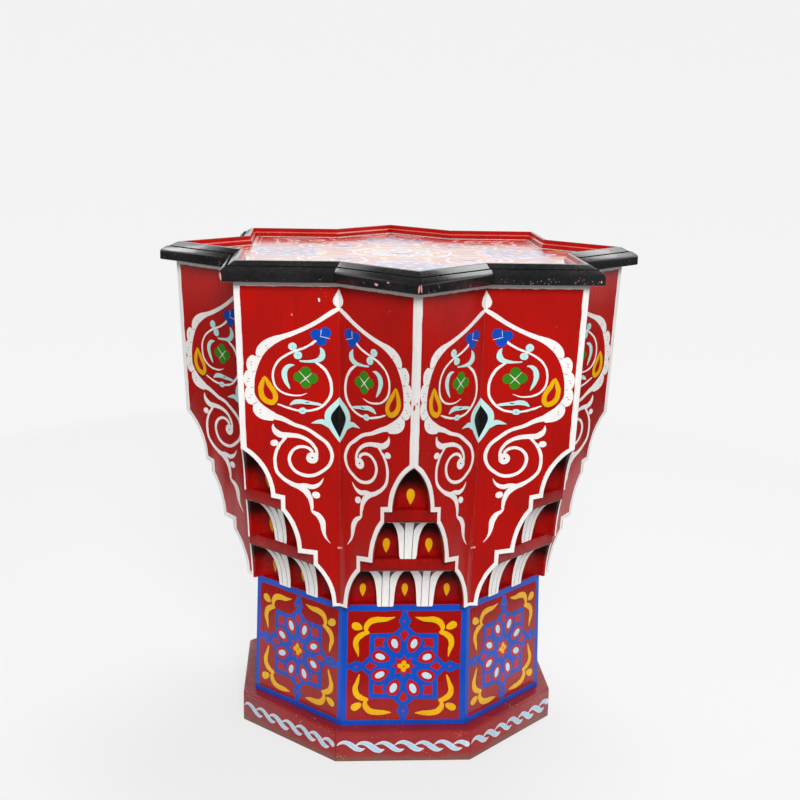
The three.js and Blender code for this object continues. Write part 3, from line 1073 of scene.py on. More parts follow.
        # Great volute
        art.line(white, [(77, 381.5, 5.0), (70, 379.2, 6.5), (60.9, 376.5, 5.2), (46.6, 369.8, 4.0),
            (33.7, 365.4, 3.7), (22.3, 358, 3.8), (12.6, 350, 3.8), (7.9, 338, 3.8), (11.5, 327, 3.6),
            (18.5, 321, 3.6), (28, 316.5, 3.6), (37, 316.5, 3.6), (46.6, 321, 3.5), (51.5, 328, 3.6),
            (52.3, 336.5, 3.8), (48, 343.5, 3.4), (41, 346.7, 3.2), (32.3, 345.3, 3.2),
            (27.5, 341, 3.6)], count=96)
        art.blob(white, (28.6, 335), 12.6, 12.2, level=2)
        art.blob(Paint.BLACK, (28.6, 335.2), 2.0, 2.0, level=3)
        # Stem that leaves the ball, opens to a leaf and a bud, and runs down to the lower leaf
        art.line(white, [(23.4, 336.5, 2.8), (23.9, 342, 3.2), (29, 350.7, 3.6), (36.6, 355.7, 4.0),
            (45, 358.2, 4.6), (53.7, 358.8, 5.2), (61.5, 359.4, 6.2), (67.2, 363.2, 5.6),
            (69.4, 368, 2.6), (69.2, 371, 0.5)], count=60)
        art.blob(white, (68.2, 350.9), 8.4, 6.8, level=2)
        art.line(Paint.BLACK, [(59.8, 354.4, 0.4), (62, 353, 1.2), (64.4, 352.6, 0.5)], 3)
        art.line(white, [(54, 358.6, 3.0), (58, 354.4, 3.2), (62.6, 349, 3.4), (66.8, 340.7, 3.5),
            (68, 330.7, 3.6), (66, 320.7, 3.6), (59.8, 313.6, 3.8), (51, 307.6, 4.6), (42, 303.6, 5.8),
            (36.4, 299.4, 6.4), (32.6, 293, 5.4), (31, 286, 4.2), (30.4, 279.4, 2.6)], count=80)
        art.line(white, [(46, 306.4, 2.0), (37.5, 306, 4.4), (29.4, 304.2, 5.0), (23.2, 306.4, 3.8),
            (19.3, 310.4, 2.0), (17.4, 313.8, 0.4)])
        art.blob(white, (25.9, 295.5), 8.6, 7.2, 20, level=2)
        art.line(Paint.BLACK, [(29.4, 300.4, 0.4), (30.8, 298.9, 1.1), (31.6, 297.4, 0.4)], 3)
        art.line(white, [(32.6, 281.6, 0.5), (29.6, 277.6, 3.2), (24, 273.5, 5.6), (19.8, 266.5, 6.4),
            (18.9, 259.5, 5.2), (17.3, 252.4, 3.0), (13.6, 246.2, 1.4), (10.6, 243, 0.4)])
        art.blob(Paint.PRIMER, (1.6, 238), 3.0, 2.6)
        self.sprig()
        self.kite()

    def ogee(self) -> None:
        """Paint the ogee arch and its outer scallops, each lobe between an outer and inner line."""
        art = self.art
        arch_out = [(0.02, 492.2), (9.4, 487.1), (20.9, 479.3), (32.3, 472.9), (43.7, 467.9),
                    (56.6, 463.6), (68, 460.7), (76.6, 456.4), (82.3, 450.2), (84.0, 443.6),
                    (82.6, 439.2)]
        arch_in = [(0.02, 487.6), (10.9, 480.4), (25.1, 471.8), (36.6, 466.1), (46.6, 461.8),
                   (58, 457.3), (68, 451.0), (74.5, 445), (77.2, 441.5)]
        lobes = [
            ([(82.6, 439.6), (87.6, 442.4), (92.4, 438.6), (93.9, 431.6), (92.2, 425.8),
              (88.6, 423.6)], [(77.2, 441.5), (81.2, 434), (84.6, 425.4)]),
            ([(88.6, 424.8), (93.6, 426.6), (97.0, 421.8), (97.3, 414.6), (95, 409.4),
              (90.6, 408)], [(84.6, 425.4), (86.5, 417), (87.3, 409)]),
            ([(90.6, 409.2), (94.6, 409.4), (97.2, 404.4), (96.9, 397.6), (93.6, 392),
              (88.2, 390.6)], [(87.3, 409), (87.1, 402), (83.4, 394.8)]),
            ([(89.2, 391), (89.8, 386.4), (88, 381.4), (82.4, 376.6), (76, 374.6),
              (69, 373.9)], [(83.4, 394.8), (78.4, 389.8), (72, 385.4), (66, 381.6)]),
        ]
        art.skin(Paint.WHITE, through(arch_out, 54), through(arch_in, 54))
        for outer, inner in lobes:
            art.skin(Paint.WHITE, through(outer, 19), through(inner, 19))
        ticks = [(72.6, 450.4, 34), (89.0, 433.6, 62), (92.8, 416.6, 82), (91.6, 399.8, 98),
                 (82.4, 384.0, 60)]
        for x, z, angle in ticks:
            c, s = way(math.radians(angle))
            for shift in (-1.3, 1.3):
                middle = np.array([x - s * shift * 0.6 + c * shift, z + c * shift * 0.6 + s * shift])
                ends = [middle - [s * 1.3, -c * 1.3], middle + [s * 1.3, -c * 1.3]]
                art.line(Paint.GREY, [(*ends[0], 0.4), (*middle, 0.75), (*ends[1], 0.4)], 3)
        gaps = [((82.4, 440.4), (77.8, 441.6)), ((88.8, 424.4), (85.0, 425.6)),
                ((90.8, 408.6), (87.6, 409.0)), ((89.0, 391.2), (84.2, 394.4))]
        for (x0, z0), (x1, z1) in gaps:
            art.line(Paint.GREY, [(x0, z0, 0.9), ((x0 + x1) / 2, (z0 + z1) / 2, 0.6),
                                  (x1, z1, 0.3)], 3)

    def sprig(self) -> None:
        """Paint the flowers, berries, leaves and loops inside the ogee."""
        art, white, pale, shade = self.art, Paint.WHITE, Paint.PALE, Paint.BLACK
        # Blue trefoil with three white hairlines
        for x, z, r in ((13.8, 465.2, 12.2), (23.4, 463.4, 11.4), (18.0, 457.4, 11.6)):
            art.blob(Paint.BLUE, (x, z), r, r * 0.96)
        art.line(white, [(8.7, 459.2, 0.5), (14, 460.6, 0.8), (19.6, 461.8, 0.6)], 2)
        art.line(white, [(17.6, 468.8, 0.6), (18, 465.4, 0.8), (18.4, 462, 0.5)], 2)
        # Stem from the trefoil round the clover
        art.line(white, [(22.6, 457.6, 2.6), (25.4, 455.6, 2.7), (29.4, 452.9, 2.4), (36.6, 449.3, 2.4),
            (45, 446.4, 2.4), (53.7, 442.4, 2.4), (62, 436.2, 2.4), (67.0, 427.9, 2.4),
            (68.2, 419.3, 2.4), (66.2, 410.7, 2.4), (59.4, 403.8, 2.2), (49, 400.6, 2.0),
            (41, 400.6, 1.6), (33, 403.2, 0.5)], count=72)
        for x, z in ((47.2, 451.0), (42, 442.2)):
            art.line(shade, [(x - 3.6, z + 2.6, 0.3), (x - 4.6, z - 0.6, 0.8), (x - 2.6, z - 4.0, 0.4)])
            art.blob(pale, (x, z), 8.8, 8.2, level=2)
            art.line(Paint.GREY, [(x - 0.8, z + 0.9, 0.3), (x + 0.2, z + 0.1, 0.7),
                                  (x - 0.4, z - 0.9, 0.3)], 3)
        # Crescent leaf, whose stem opens the great loop
        art.line(shade, [(15.8, 448.6, 0.4), (13.3, 443.6, 1.1), (15.6, 438.6, 0.9),
                         (20.6, 434.6, 0.4)])
        art.line(pale, [(19.2, 450.6, 0.8), (17.0, 446.6, 4.6), (17.0, 442, 6.4), (20.6, 437.8, 5.4),
            (27, 436.4, 3.4), (33, 436.0, 2.4), (41, 436.4, 1.6)], 2, count=30)
        art.line(white, [(24.5, 435.4, 1.6), (20, 432.6, 2.8), (15.1, 428.6, 3.2), (10.4, 420.7, 3.3),
            (8.2, 410.7, 3.2), (9.6, 400.4, 3.0), (15.1, 392.6, 2.8), (22.3, 387.3, 2.4),
            (32.3, 384.7, 2.3), (45.1, 385.2, 2.3), (55.1, 388.0, 2.2), (64.5, 391.6, 1.6)], count=78)
        art.blob(pale, (38.2, 384.6), 8.6, 6.4, level=2)
        art.line(Paint.GREY, [(36.6, 384.8, 0.3), (38.2, 384.2, 0.7), (40, 384.8, 0.3)], 3)
        # Wavy leaf in the loop
        art.line(pale, [(16.5, 391.2, 0.6), (21, 391.8, 2.8), (27.4, 392.6, 3.4), (34, 393.4, 4.2),
            (41, 394.4, 4.8), (47, 393.4, 4.4), (51.8, 390.4, 1.2)], 2)
        art.line(shade, [(30.6, 394.6, 0.4), (33, 393.2, 1.3), (36.2, 393.6, 0.4)], 3)
        art.line(shade, [(19, 389.8, 0.3), (26, 390.3, 0.8), (34, 390.6, 0.8), (41, 391.6, 0.3)])
        # Green clover with a white cross
        for x, z in ((34.6, 425.4), (41.8, 419.8), (34.6, 413.4), (27.4, 418.8)):
            art.blob(Paint.GREEN, (x, z), 11.2, 10.6)
        art.line(white, [(28, 424.3, 0.6), (34.4, 418.6, 1.1), (40.9, 412.9, 0.6)], 2)
        art.line(white, [(41.8, 426.4, 0.6), (36, 420, 1.0), (30.1, 413.6, 0.6)], 2)
        # Curved leaf beside the clover
        art.line(shade, [(49.5, 429.4, 0.4), (53.6, 425, 0.9), (53.4, 418, 0.8), (50.2, 410, 0.3)])
        art.line(pale, [(45.6, 432.2, 0.8), (50.4, 431.6, 3.6), (54.6, 428.4, 5.2), (56.6, 422.6, 5.8),
            (55.2, 415.6, 4.4), (52.6, 410, 2.6), (51, 407, 0.7)], 2, count=26)
        # Gold drop, an outline round a red core
        art.line(Paint.GOLD, [(76.2, 421.0, 1.4), (79.2, 413.8, 4.7), (80.9, 406.4, 5.4),
            (79.3, 398.8, 5.6), (74.6, 394.2, 5.6), (69.6, 393.2, 5.5), (66.6, 396.2, 5.3),
            (66.6, 401.6, 5.1), (69.4, 407.4, 5.0), (73.0, 413.0, 4.7), (75.8, 420.0, 1.8)], 2,
            count=44)
        art.line(shade, [(66.6, 388.9, 0.4), (71, 388.7, 1.0), (76.4, 391.2, 0.8),
                         (81.4, 395.4, 0.4)])

    def kite(self) -> None:
        """Paint half of the black lozenge in its pale leaf, on the inner corner."""
        art, size = self.art, 25
        rim = through([(0.3, 399.2), (4.4, 395.2), (9.8, 390.4), (14.2, 385), (15.6, 379.4),
            (14.4, 373), (10.6, 366.4), (6, 359.6), (0.3, 351.8)], size)
        art.skin(Paint.PALE, joined(self.at_corner, rim[:, 1]), rim)
        heart = through([(0.3, 391.6), (4.8, 386.4), (8.6, 381), (9.2, 377.2), (7.2, 371), (3.8, 364),
            (0.3, 357)], size)
        art.skin(Paint.BLACK, joined(self.at_corner, heart[:, 1]), heart, 2)
        art.line(Paint.PALE, [(9.6, 366.8, 1.2), (13.2, 371.2, 5.6), (18.2, 373.6, 5.4),
            (23.6, 373, 3.4), (29.4, 371.6, 0.5)])
        art.line(Paint.BLACK, [(12, 366.2, 0.3), (17, 369.8, 0.9), (23.6, 370.4, 0.3)])

    def ornament(self) -> None:
        """Build the painted ornament of this panel."""
        self.borders()
        self.arabesque()
        for across, up, length, breadth, paint in PANEL_CHIPS.get(self.name, []):
            self.art.blob(paint, (across, up), length, breadth, 80, level=4, count=9)
        self.art.build(f"panel_{self.name}_ornament", "red_paint")


# Niches

@dataclass
class Muqarnas:
    """Niches and shelves below one star point, with their white piers and gold drops."""

    point: int
    # Depth of the niches, and of the block behind the feet of the lowest piers
    depth: float = 9.0
    block: float = 23.0
    roof: float = 2.0
    edge_gap: float = 0.1
    # How square a niche's plan is, and how late it closes below its crown
    square_share: float = 0.8
    deep_share: float = 0.2
    levels: int = 16
    niche_samples: int = 22
    # Width of a pier's foot, and the even share, the late share and its power as it widens
    pier: float = 18.8
    pier_growth: tuple[float, float, int] = (0.25, 0.75, 4)
    foot_projection: float = 1.2
    pier_setback: float = 0.6
    apex: float = 0.4
    # How far the lowest piers' paint hangs below its row, and the rounding of a painted foot
    pier_hang: float = 2.4
    foot_rounding: float = 0.9
    rounding_turn: float = 0.05
    # Half of the white strip in the middle of a pier, and how much wider it gets in row 1
    strip: float = 4.0
    strip_widening: float = 0.8
    strip_waver: float = 0.12
    # Dark wedge beside it: where it starts up the pier, how wide it gets and how it bends
    wedge_foot: float = 0.66
    wedge_foot_waver: float = 0.02
    wedge_width: float = 9.2
    wedge_waver: float = 0.3
    wedge_bend: float = 1.8
    dark_line: float = 0.5
    dark_lap: float = 0.25
    least_strip: float = 0.7
    # White line under a shelf
    line_width: float = 1.2
    line_foot: float = 0.1
    line_waver: float = 0.2
    line_end: float = 0.3
    # Gold drops, from the top row down, and how far the painted shade reaches below the crowns
    drop_lengths: Size3 = (17.0, 16.2, 14.8)
    drop_breadths: Size3 = (8.8, 8.0, 7.2)
    drop_middles: Size3 = (11.6, 11.8, 13.4)
    crown_shade_reach: float = 27.0
    top_crown_shade_reach: float = 36.0
    art: Ornament = field(init=False)

    def __post_init__(self) -> None:
        """Start the trimmings, which are painted straight and steady."""
        self.art = Ornament(PierFace(self, BODY.rows[0], 0.0), 300 + self.point, 0.0)

    @property
    def backing(self) -> float:
        """Distance of the infill behind the panels' faces."""
        return BODY.board + BODY.gap

    @property
    def edge_depth(self) -> float:
        """Distance of the niches' outer edges behind the panels' faces, just past the lip."""
        return BODY.lip + self.edge_gap

    @property
    def turn(self) -> float:
        """Turn of this infill about the middle."""
        return point_turn(self.point)

    def beside(self, along: Array, depth: float) -> tuple[Array, Array]:
        """Plan place at a distance along a panel and behind its face."""
        x = along * math.cos(TIP) - depth * math.sin(TIP)
        y = BODY.point_radius - along * math.sin(TIP) - depth * math.cos(TIP)
        return x, y

    @property
    def steps(self) -> list[float]:
        """Distances of the step ends from the star point, from the top down."""
        return [share * BODY.width for share in BODY.step_shares]

    @property
    def shelf_reaches(self) -> list[float]:
        """Distances of the shelves' fronts from the middle, from the top down."""
        return [self.beside(along, 0.0)[1] for along in self.steps]

    @property
    def pier_foot_reach(self) -> float:
        """Distance of the lowest piers' feet from the middle, before the lean."""
        return (BODY.pedestal_head + self.foot_projection) / float(BODY.lean(np.array(BODY.foot)))

    def reaches(self, row: Row) -> tuple[float, float]:
        """Distances of a row's front at its foot and at its top."""
        upper, lower = self.shelf_reaches
        back = self.pier_setback
        return [(upper, upper), (lower - back, upper - back),
                (self.pier_foot_reach, lower - back)][row.number]

    def open_rise(self, row: Row) -> float:
        """How far up a row is open: to its top, or to where the panels' edges meet."""
        closing = self.edge_depth * math.tan(TIP) + self.apex / 2 / math.cos(TIP)
        offset = max(closing - row.end + row.radius, 0)
        return min(row.top - row.foot, math.sqrt(max(row.radius**2 - offset**2, 0)))

    def spacing(self, row: Row) -> float:
        """Distance between the crowns of neighbouring niches."""
        return (2 * self.fan_reach(row) - self.apex) / (row.niches - 1) if row.niches > 1 else 0.0

    def fan_reach(self, row: Row) -> float:
        """How far from the middle the outer fans reach at the row's top."""
        return float(self.beside(row.edge(np.array(row.top)), self.backing)[0])

    def mouth(self, row: Row, height: float) -> tuple[float, float]:
        """Plan place of a row's right end, at the sawn edge of the panel."""
        x, y = self.beside(row.edge(np.array(height)), self.edge_depth)
        return float(x), float(y)

    def pier_half(self, row: Row, share: Array) -> Array:
        """Half of a pier's width, which grows slowly and then fast, close to the crowns."""
        growth = (self.spacing(row) - self.apex) / 2 - self.pier / 2
        even, late, power = self.pier_growth
        return self.pier / 2 + growth * (even * share + late * share**power)

    def plane(self, row: Row) -> float:
        """Distance of a row's upright backs from the middle."""
        return self.reaches(row)[0] - self.depth

    def left_open(self, turn: Array) -> Array:
        """Share of a niche's depth at a turn: it stays deep and closes just below the crown."""
        return np.cos(turn).clip(0)**self.deep_share

    def centres(self, row: Row) -> list[float]:
        """Places of a row's piers across its front, from the right."""
        top = self.fan_reach(row)
        return [top - self.apex / 2 - self.spacing(row) * (i + 0.5)
                for i in range(row.niches - 1)]

    def rear(self) -> Array:
        """Rear of every plan: beside the panel's back, and the flat back near the middle."""
        clear = BODY.gap / 2 / math.cos(CORNER)
        back = self.pier_foot_reach - self.block
        across = math.tan(CORNER) * math.sin(TIP) + math.cos(TIP)
        meet = (BODY.side - self.backing + clear * math.sin(TIP)) / across
        side = meet * math.tan(CORNER) - clear
        inner = back * math.tan(CORNER) - clear
        return np.array([[-side, meet], [-inner, back], [inner, back], [side, meet]])

    def niche_front(self, row: Row, turn: float) -> Array:
        """Front of a row at one level, from its right end to its left end.

        The level is foot + rise sin turn. Each niche is a superellipse from its two edges to
        the row's upright back plane, and the front leans out by 1 - cos turn.

        Args:
            row: The row.
            turn: Turn of the arch at this level.

        Returns:
            Plan places, points by 2.
        """
        low, high = self.reaches(row)
        height = row.foot + self.open_rise(row) * math.sin(turn)
        bulge = 1 - math.cos(turn)
        reach = low + (high - low) * bulge
        mouth = self.mouth(row, height)
        half = float(self.pier_half(row, np.array(math.sin(turn))))
        ends = [mouth]
        for centre in self.centres(row):
            ends += [(centre + half, reach), (centre - half, reach)]
        ends = np.array(ends + [(-mouth[0], mouth[1])], float)
        t = np.linspace(0, math.pi, self.niche_samples + 1)
        across = (1 - np.sign(np.cos(t)) * np.abs(np.cos(t))**self.square_share) / 2
        share = np.sin(t).clip(0)**self.square_share * self.left_open(np.array(turn))
        right, left = ends[0::2, None], ends[1::2, None]
        curve = right + (left - right) * across[None, :, None]
        curve[..., 1] -= (curve[..., 1] - self.plane(row)) * share
        return curve.reshape(-1, 2)

    def prism(self, shells: Shells, plan: Array, low: float, high: float, ease: float = 0.0) -> None:
        """Add an upright block of one plan, its top and bottom edges eased."""
        layers = [(low, ease), (low + ease, 0.0), (high - ease, 0.0), (high, ease)]
        layers = layers if ease else [(low, 0.0), (high, 0.0)]
        rings = [joined(*(inset(plan, e) if e else plan).T, z) for z, e in layers]
        shells.grid(turned(BODY.leaned(np.stack(rings)), self.turn))

    def carcass(self) -> None:
        """Build the red carcass: three rows of niches, two shelves and the roof block."""
        shells = Shells()
        rear = self.rear()
        for row in BODY.rows:
            rings = []
            for turn in np.linspace(0, QUARTER, self.levels).tolist():
                height = row.foot + self.open_rise(row) * math.sin(turn)
                along = row.edge(np.array(height)) + self.backing - self.edge_depth
                x, y = self.beside(along, self.backing)
                plan = np.vstack([self.niche_front(row, turn), [(-x, y)], rear, [(x, y)]])
                rings.append(joined(*plan.T, height))
            shells.grid(turned(BODY.leaned(np.stack(rings)), self.turn))
        for along, row in zip(self.steps, BODY.rows[1:]):
            outer = self.beside(along - BODY.gap, 0.0)
            inner = self.beside(along - BODY.gap, self.backing)
            front = np.array([inner, outer, (-outer[0], outer[1]), (-inner[0], inner[1])])
            plan = np.vstack([front, rear])
            self.prism(shells, plan, row.top, row.top + BODY.shelf - BODY.gap, 0.4)
        crown = BODY.rows[0].foot + self.open_rise(BODY.rows[0])
        tip = self.beside(self.backing * math.tan(TIP), self.backing)
        roof = np.vstack([np.array([tip]), rear])
        self.prism(shells, roof, crown, crown + self.roof)
        shells.build(f"niches_{self.point}", [Paint.NICHE], 38.0, "niche_paint",
                     f"muqarnas_infill_{self.point}")

    def trimmings(self) -> None:
        """Paint the piers white with dark wedges, the line under each shelf and the drops."""
        for row in BODY.rows:
            for centre in self.centres(row):
                self.art.ground = PierFace(self, row, centre)
                self.pier_skins(row)
            if row.number:
                self.shelf_line(row)
            self.drops(row)
        self.art.build(f"niches_{self.point}_piers", "niche_paint")

    def pier_skins(self, row: Row) -> None:
        """Paint one pier: a straight strip, two strips that bend out and wedges between.

        Up a pier the places are turns of the arch, so height is foot + rise sin turn. The
        wedge's outer line leaves the middle strip at two thirds of the rise and bends out.

        Args:
            row: The row.
        """
        art, rise = self.art, self.open_rise(row)
        hang = -self.pier_hang / rise if row.foot == BODY.foot else 0.0
        turns = np.concatenate([np.linspace(hang, 0.0, 4)[:-1], np.linspace(0, QUARTER, 24)])
        heights = rise * np.sin(turns)
        share = np.clip(heights / rise, 0, 1)
        back = ((turns[0] - turns) / self.rounding_turn + 1).clip(0)
        foot_round = np.sqrt(np.clip(1 - back**2, 0, 1))
        half = self.pier_half(row, share) - self.foot_rounding * (1 - foot_round)
        widening = self.strip_widening if row.number == 1 else 0.0
        middle = self.strip + widening * share + art.random.normal(0, self.strip_waver)
        foot = self.wedge_foot + art.random.normal(0, self.wedge_foot_waver)
        wedge = ((share - foot) / (1 - foot)).clip(0, 1)
        width = self.wedge_width + art.random.normal(0, self.wedge_waver)
        inner = middle + self.dark_line + width * wedge**self.wedge_bend
        inner = np.minimum(inner, half - self.least_strip)
        art.skin(Paint.WHITE, joined(-middle, turns), joined(middle, turns), 3, sway=False)
        keep = turns >= -0.01
        for side in (-1, 1):
            dark = joined(side * (middle - self.dark_lap), turns)[keep]
            edge = joined(side * (inner + self.dark_lap), turns)[keep]
            art.skin(Paint.GREY, dark, edge, 1, sway=False)
            art.skin(Paint.WHITE, joined(side * inner, turns), joined(side * half, turns), 3,
                     sway=False)

    def shelf_line(self, row: Row) -> None:
        """Paint the thin white line that runs under the front edge of the shelf above a row.

        Args:
            row: The row.
        """
        art = self.art
        art.ground = ShelfFace(self, row)
        reach = self.mouth(row, row.top)[0] - self.line_end
        across = np.linspace(-reach, reach, 24)
        upper = self.line_width + art.tremble(len(across), self.line_waver)
        art.skin(Paint.WHITE, joined(across, self.line_foot), joined(across, upper), 2, sway=False)

    def drops(self, row: Row) -> None:
        """Paint a gold leaf drop on the back of each niche, round above and pointed below.

        At cos t of its half length, half its breadth is 0.63 of it times sin t cos(t/2)^0.9.

        Args:
            row: The row.
        """
        t = np.linspace(0, math.pi, 19)
        up = self.drop_middles[row.number] + 0.5 * self.drop_lengths[row.number] * np.cos(t)
        half = 0.63 * self.drop_breadths[row.number] * np.sin(t) * np.cos(t / 2)**0.9
        for niche in range(row.niches):
            self.art.ground = NicheBack(self, row, niche)
            self.art.skin(Paint.GOLD, joined(-half, up), joined(half, up), 2, sway=False)


@dataclass
class PierFace(Ground):
    """Front of the piers of one row; across starts at a pier's middle and up is a turn."""

    infill: Muqarnas
    row: Row
    centre: float

    def place(self, across: Array, up: Array, out: Array) -> Array:
        """See Ground: out is square to the front, which leans out by 1 - cos of the turn."""
        row, rise = self.row, self.infill.open_rise(self.row)
        low, high = self.infill.reaches(row)
        turn = np.clip(up, 0, QUARTER)
        below = np.minimum(up, 0) * rise
        reach = low + (high - low) * (1 - np.cos(turn))
        slope_y, slope_z = (high - low) * np.sin(turn), rise * np.cos(turn)
        size = np.maximum(np.hypot(slope_y, slope_z), 1e-6)
        height = row.foot + rise * np.sin(turn) + below - out * slope_y / size
        points = joined(self.centre + across, reach + out * slope_z / size, height)
        return turned(BODY.leaned(points), self.infill.turn)


@dataclass
class ShelfFace(Ground):
    """Front of the shelf above one row; across starts at its middle and up at its foot."""

    infill: Muqarnas
    row: Row

    def place(self, across: Array, up: Array, out: Array) -> Array:
        """See Ground: out is square to the upright front."""
        reach = self.infill.shelf_reaches[self.row.number - 1]
        points = joined(across, reach + out, self.row.top + up)
        return turned(BODY.leaned(points), self.infill.turn)


@dataclass
class NicheBack(Ground):
    """Back of one niche; across starts at its middle and up at the row's foot."""

    infill: Muqarnas
    row: Row
    niche: int

    def place(self, across: Array, up: Array, out: Array) -> Array:
        """See Ground: the niche's own superellipse, sampled finely and read at each place."""
        row, rise = self.row, self.infill.open_rise(self.row)
        samples = np.linspace(0, QUARTER, 60)
        count = self.infill.niche_samples + 1
        fronts = np.stack([self.infill.niche_front(row, t) for t in samples.tolist()])
        curve = fronts[:, self.niche * count:(self.niche + 1) * count]
        level = np.arcsin(np.clip(up / rise, 0, 1)) / QUARTER * (len(samples) - 1)
        grid = np.arange(len(samples))
        right_x, right_y, left_x, left_y = (
            np.interp(level, grid, curve[:, end, axis]) for end in (0, -1) for axis in (0, 1))
        half = np.maximum((right_x - left_x) / 2, 1e-6)
        share = np.clip(np.abs(across) / half, 0, 0.98)
        sine = (1 - share**(2 / self.infill.square_share)).clip(0)**(self.infill.square_share / 2)
        mouth = (right_y + left_y) / 2 + (right_y - left_y) / 2 * across / half
        turn = level / (len(samples) - 1) * QUARTER
        open_share = sine * self.infill.left_open(turn)
        back = mouth - (mouth - self.infill.plane(row)) * open_share
        points = joined((right_x + left_x) / 2 + across, back + out, row.foot + up)
        return turned(BODY.leaned(points), self.infill.turn)


def niche_crown_shades() -> list[tuple[float, float]]:
    """Heights of the rows' crowns and how far the painted shade reaches below them, longest in the
    single niche.
    """
    infill = Muqarnas(0)
    return [(row.foot + infill.open_rise(row),
             infill.top_crown_shade_reach if row.niches == 1 else infill.crown_shade_reach) for row in BODY.rows]


# Rim, pedestal and plinth, each of mitred bars

def mitred_bar(section: Array, ease: Array, from_turn: float, to_turn: float, joint: float) -> Array:
    """Rings of a straight bar cut off by two upright planes through the table's middle.

    A section point at distance y ends at y tan(turn), half a joint clear of the plane. Near
    both ends the outer points draw back by the easing, so that the joint shows as a groove.

    Args:
        section: Section as distance out and height, points by 2.
        ease: How far each section point draws back at the ends.
        from_turn: Turn of the first plane off +Y.
        to_turn: Turn of the second plane.
        joint: Width of the joint with the next bar.

    Returns:
        Rings by points by 3, along +X.
    """
    y, z = section[:, 0], section[:, 1]
    start = y * math.tan(from_turn) + joint / 2 / math.cos(from_turn)
    end = y * math.tan(to_turn) - joint / 2 / math.cos(to_turn)
    rounds = ((0.0, 1.0), (0.3, 0.35), (1.0, 0.0))
    rings = [joined(start + along * ease - back * ease * math.tan(from_turn), y - back * ease, z)
             for along, back in rounds]
    rings += [joined(end - along * ease - back * ease * math.tan(to_turn), y - back * ease, z)
              for along, back in rounds[::-1]]
    return np.stack(rings)


# Chips as place across, height, length and breadth, and how many stray specks a length has
RIM_CHIPS = {
    "8_right": [(109.6, 522.0, 8.4, 1.8)],
    "8_left": [(109.0, 521.5, 8.0, 3.0), (107.4, 524.6, 3.0, 1.8)],
    "1_left": [(109.4, 521.8, 7.6, 2.4), (56.0, 521.0, 2.6, 5.0), (71.0, 524.4, 1.6, 3.4)],
    "1_right": [(109.6, 522.4, 8.0, 2.0)],
    "2_left": [(106.8, 520.6, 2.6, 1.4)],
}
RIM_SPECKS = {"2_left": 40, "8_right": 4, "1_right": 12, "7_right": 6, "3_left": 3}


@dataclass
class RimMoulding(SidePiece):
    """One length of the rim: a bead inside, a crest, two sloped bands and an upright fascia."""

    overhang: float = 12.8
    lap: float = 0.5
    fascia: float = 10.6
    crest: float = 5.6
    top: float = 536.54
    bead: float = 4.4
    groove_width: float = 2.6
    groove_depth: float = 2.4
    joint: float = 0.12
    # Stray specks: least, likeliest and greatest height over the body, and the range of sizes
    speck_heights: Size3 = (0.8, 1.4, 8.0)
    speck_sizes: tuple[float, float] = (0.4, 1.0)
    chip_tilt: float = 84.0

    def section(self) -> tuple[Array, Array, Array]:
        """Section of the moulding, from the seat on the tray board round to the fascia's back.

        Returns:
            Points as distance out and height, the material number of each, and its easing.
        """
        inner, outer = BODY.side - BODY.rim_seat, BODY.side + self.overhang
        edge, seat = BODY.side + BODY.gap, BODY.tray_floor + BODY.gap
        bead = BODY.tray_floor + self.bead
        foot = BODY.top - self.lap
        high = foot + self.fascia
        fall, run = self.top - high, outer - inner - self.crest
        crest = inner + self.crest
        cut, cut_z = crest + 0.46 * run, self.top - 0.50 * fall
        lip, lip_z = cut + self.groove_width, cut_z - 0.06 * fall
        corners = [
            (edge, seat, 0.0), (inner, seat, 0.0),
            (inner, bead - 0.9, 0.3), (inner + 1.5, bead, 0.6), (inner + 1.9, bead + 1.2, 0.5),
            (inner + 2.2, self.top - 0.9, 0.4),
            (inner + 2.9, self.top, 0.4), (crest, self.top - 0.3, 1.0),
            (cut, cut_z, 0.25), (cut + 0.2, cut_z - self.groove_depth, 0.3),
            (lip - 0.1, lip_z - self.groove_depth * 0.8, 0.3), (lip, lip_z + 0.1, 0.3),
            (outer, high, 2.0), (outer, foot, 1.4), (edge, foot, 0.0)]
        steps = 4
        points = rounded([(x, z, max(r, 0.02)) for x, z, r in corners], steps)
        number = np.arange(len(points)) // (steps + 1)
        red = (number >= 1) & (number <= 5)
        groove = (number >= 8) & (number <= 10)
        ease = np.where(points[:, 0] > inner + 2.9, 0.6, 0.0)
        finish = np.where(red, 1, np.where(groove, 2, 0))
        # The bead's top edge takes the red with the painted highlight, and the groove the black painted
        # as shade
        return points, np.where(number == 3, 3, finish), ease

    def build(self) -> None:
        """Build the moulding, black outside and red down to the tray's floor, with a painted highlight
        along the bead and painted shade in the groove.
        """
        points, finish, ease = self.section()
        rings = mitred_bar(points, ease, CORNER, TIP, self.joint)
        rings[..., 0] *= self.hand.value
        turn = point_turn(self.point) + self.hand.value * TIP
        shells = Shells()
        shells.grid(turned(rings, turn), finish)
        paints = [Paint.RIM, Paint.RED, Paint.GROOVE, Paint.WORN]
        shells.build(f"rim_{self.name}", paints, 40.0, "black_paint", f"rim_moulding_{self.name}")

    def wear(self) -> None:
        """Paint this length's chips, down to the primer: named ones and a few stray specks."""
        art = Ornament(SideFace(self.point, self.hand, BODY.side + self.overhang, False),
                       800 + 2 * self.point + self.hand.value, 0.0)
        width = (BODY.side + self.overhang) * (math.tan(TIP) - math.tan(CORNER))
        for across, up, length, breadth in RIM_CHIPS.get(self.name, []):
            art.blob(Paint.PRIMER, (across, up), length, breadth, self.chip_tilt, count=9)
        for _ in range(RIM_SPECKS.get(self.name, 1)):
            across = float(art.random.uniform(6, width - 5))
            up = BODY.top + float(art.random.triangular(*self.speck_heights))
            size = float(art.random.uniform(*self.speck_sizes))
            tilt = float(art.random.uniform(0, 180))
            art.blob(Paint.SPECK, (across, up), size * 1.5, size, tilt, count=7)
        art.build(f"rim_{self.name}_wear", "black_paint")


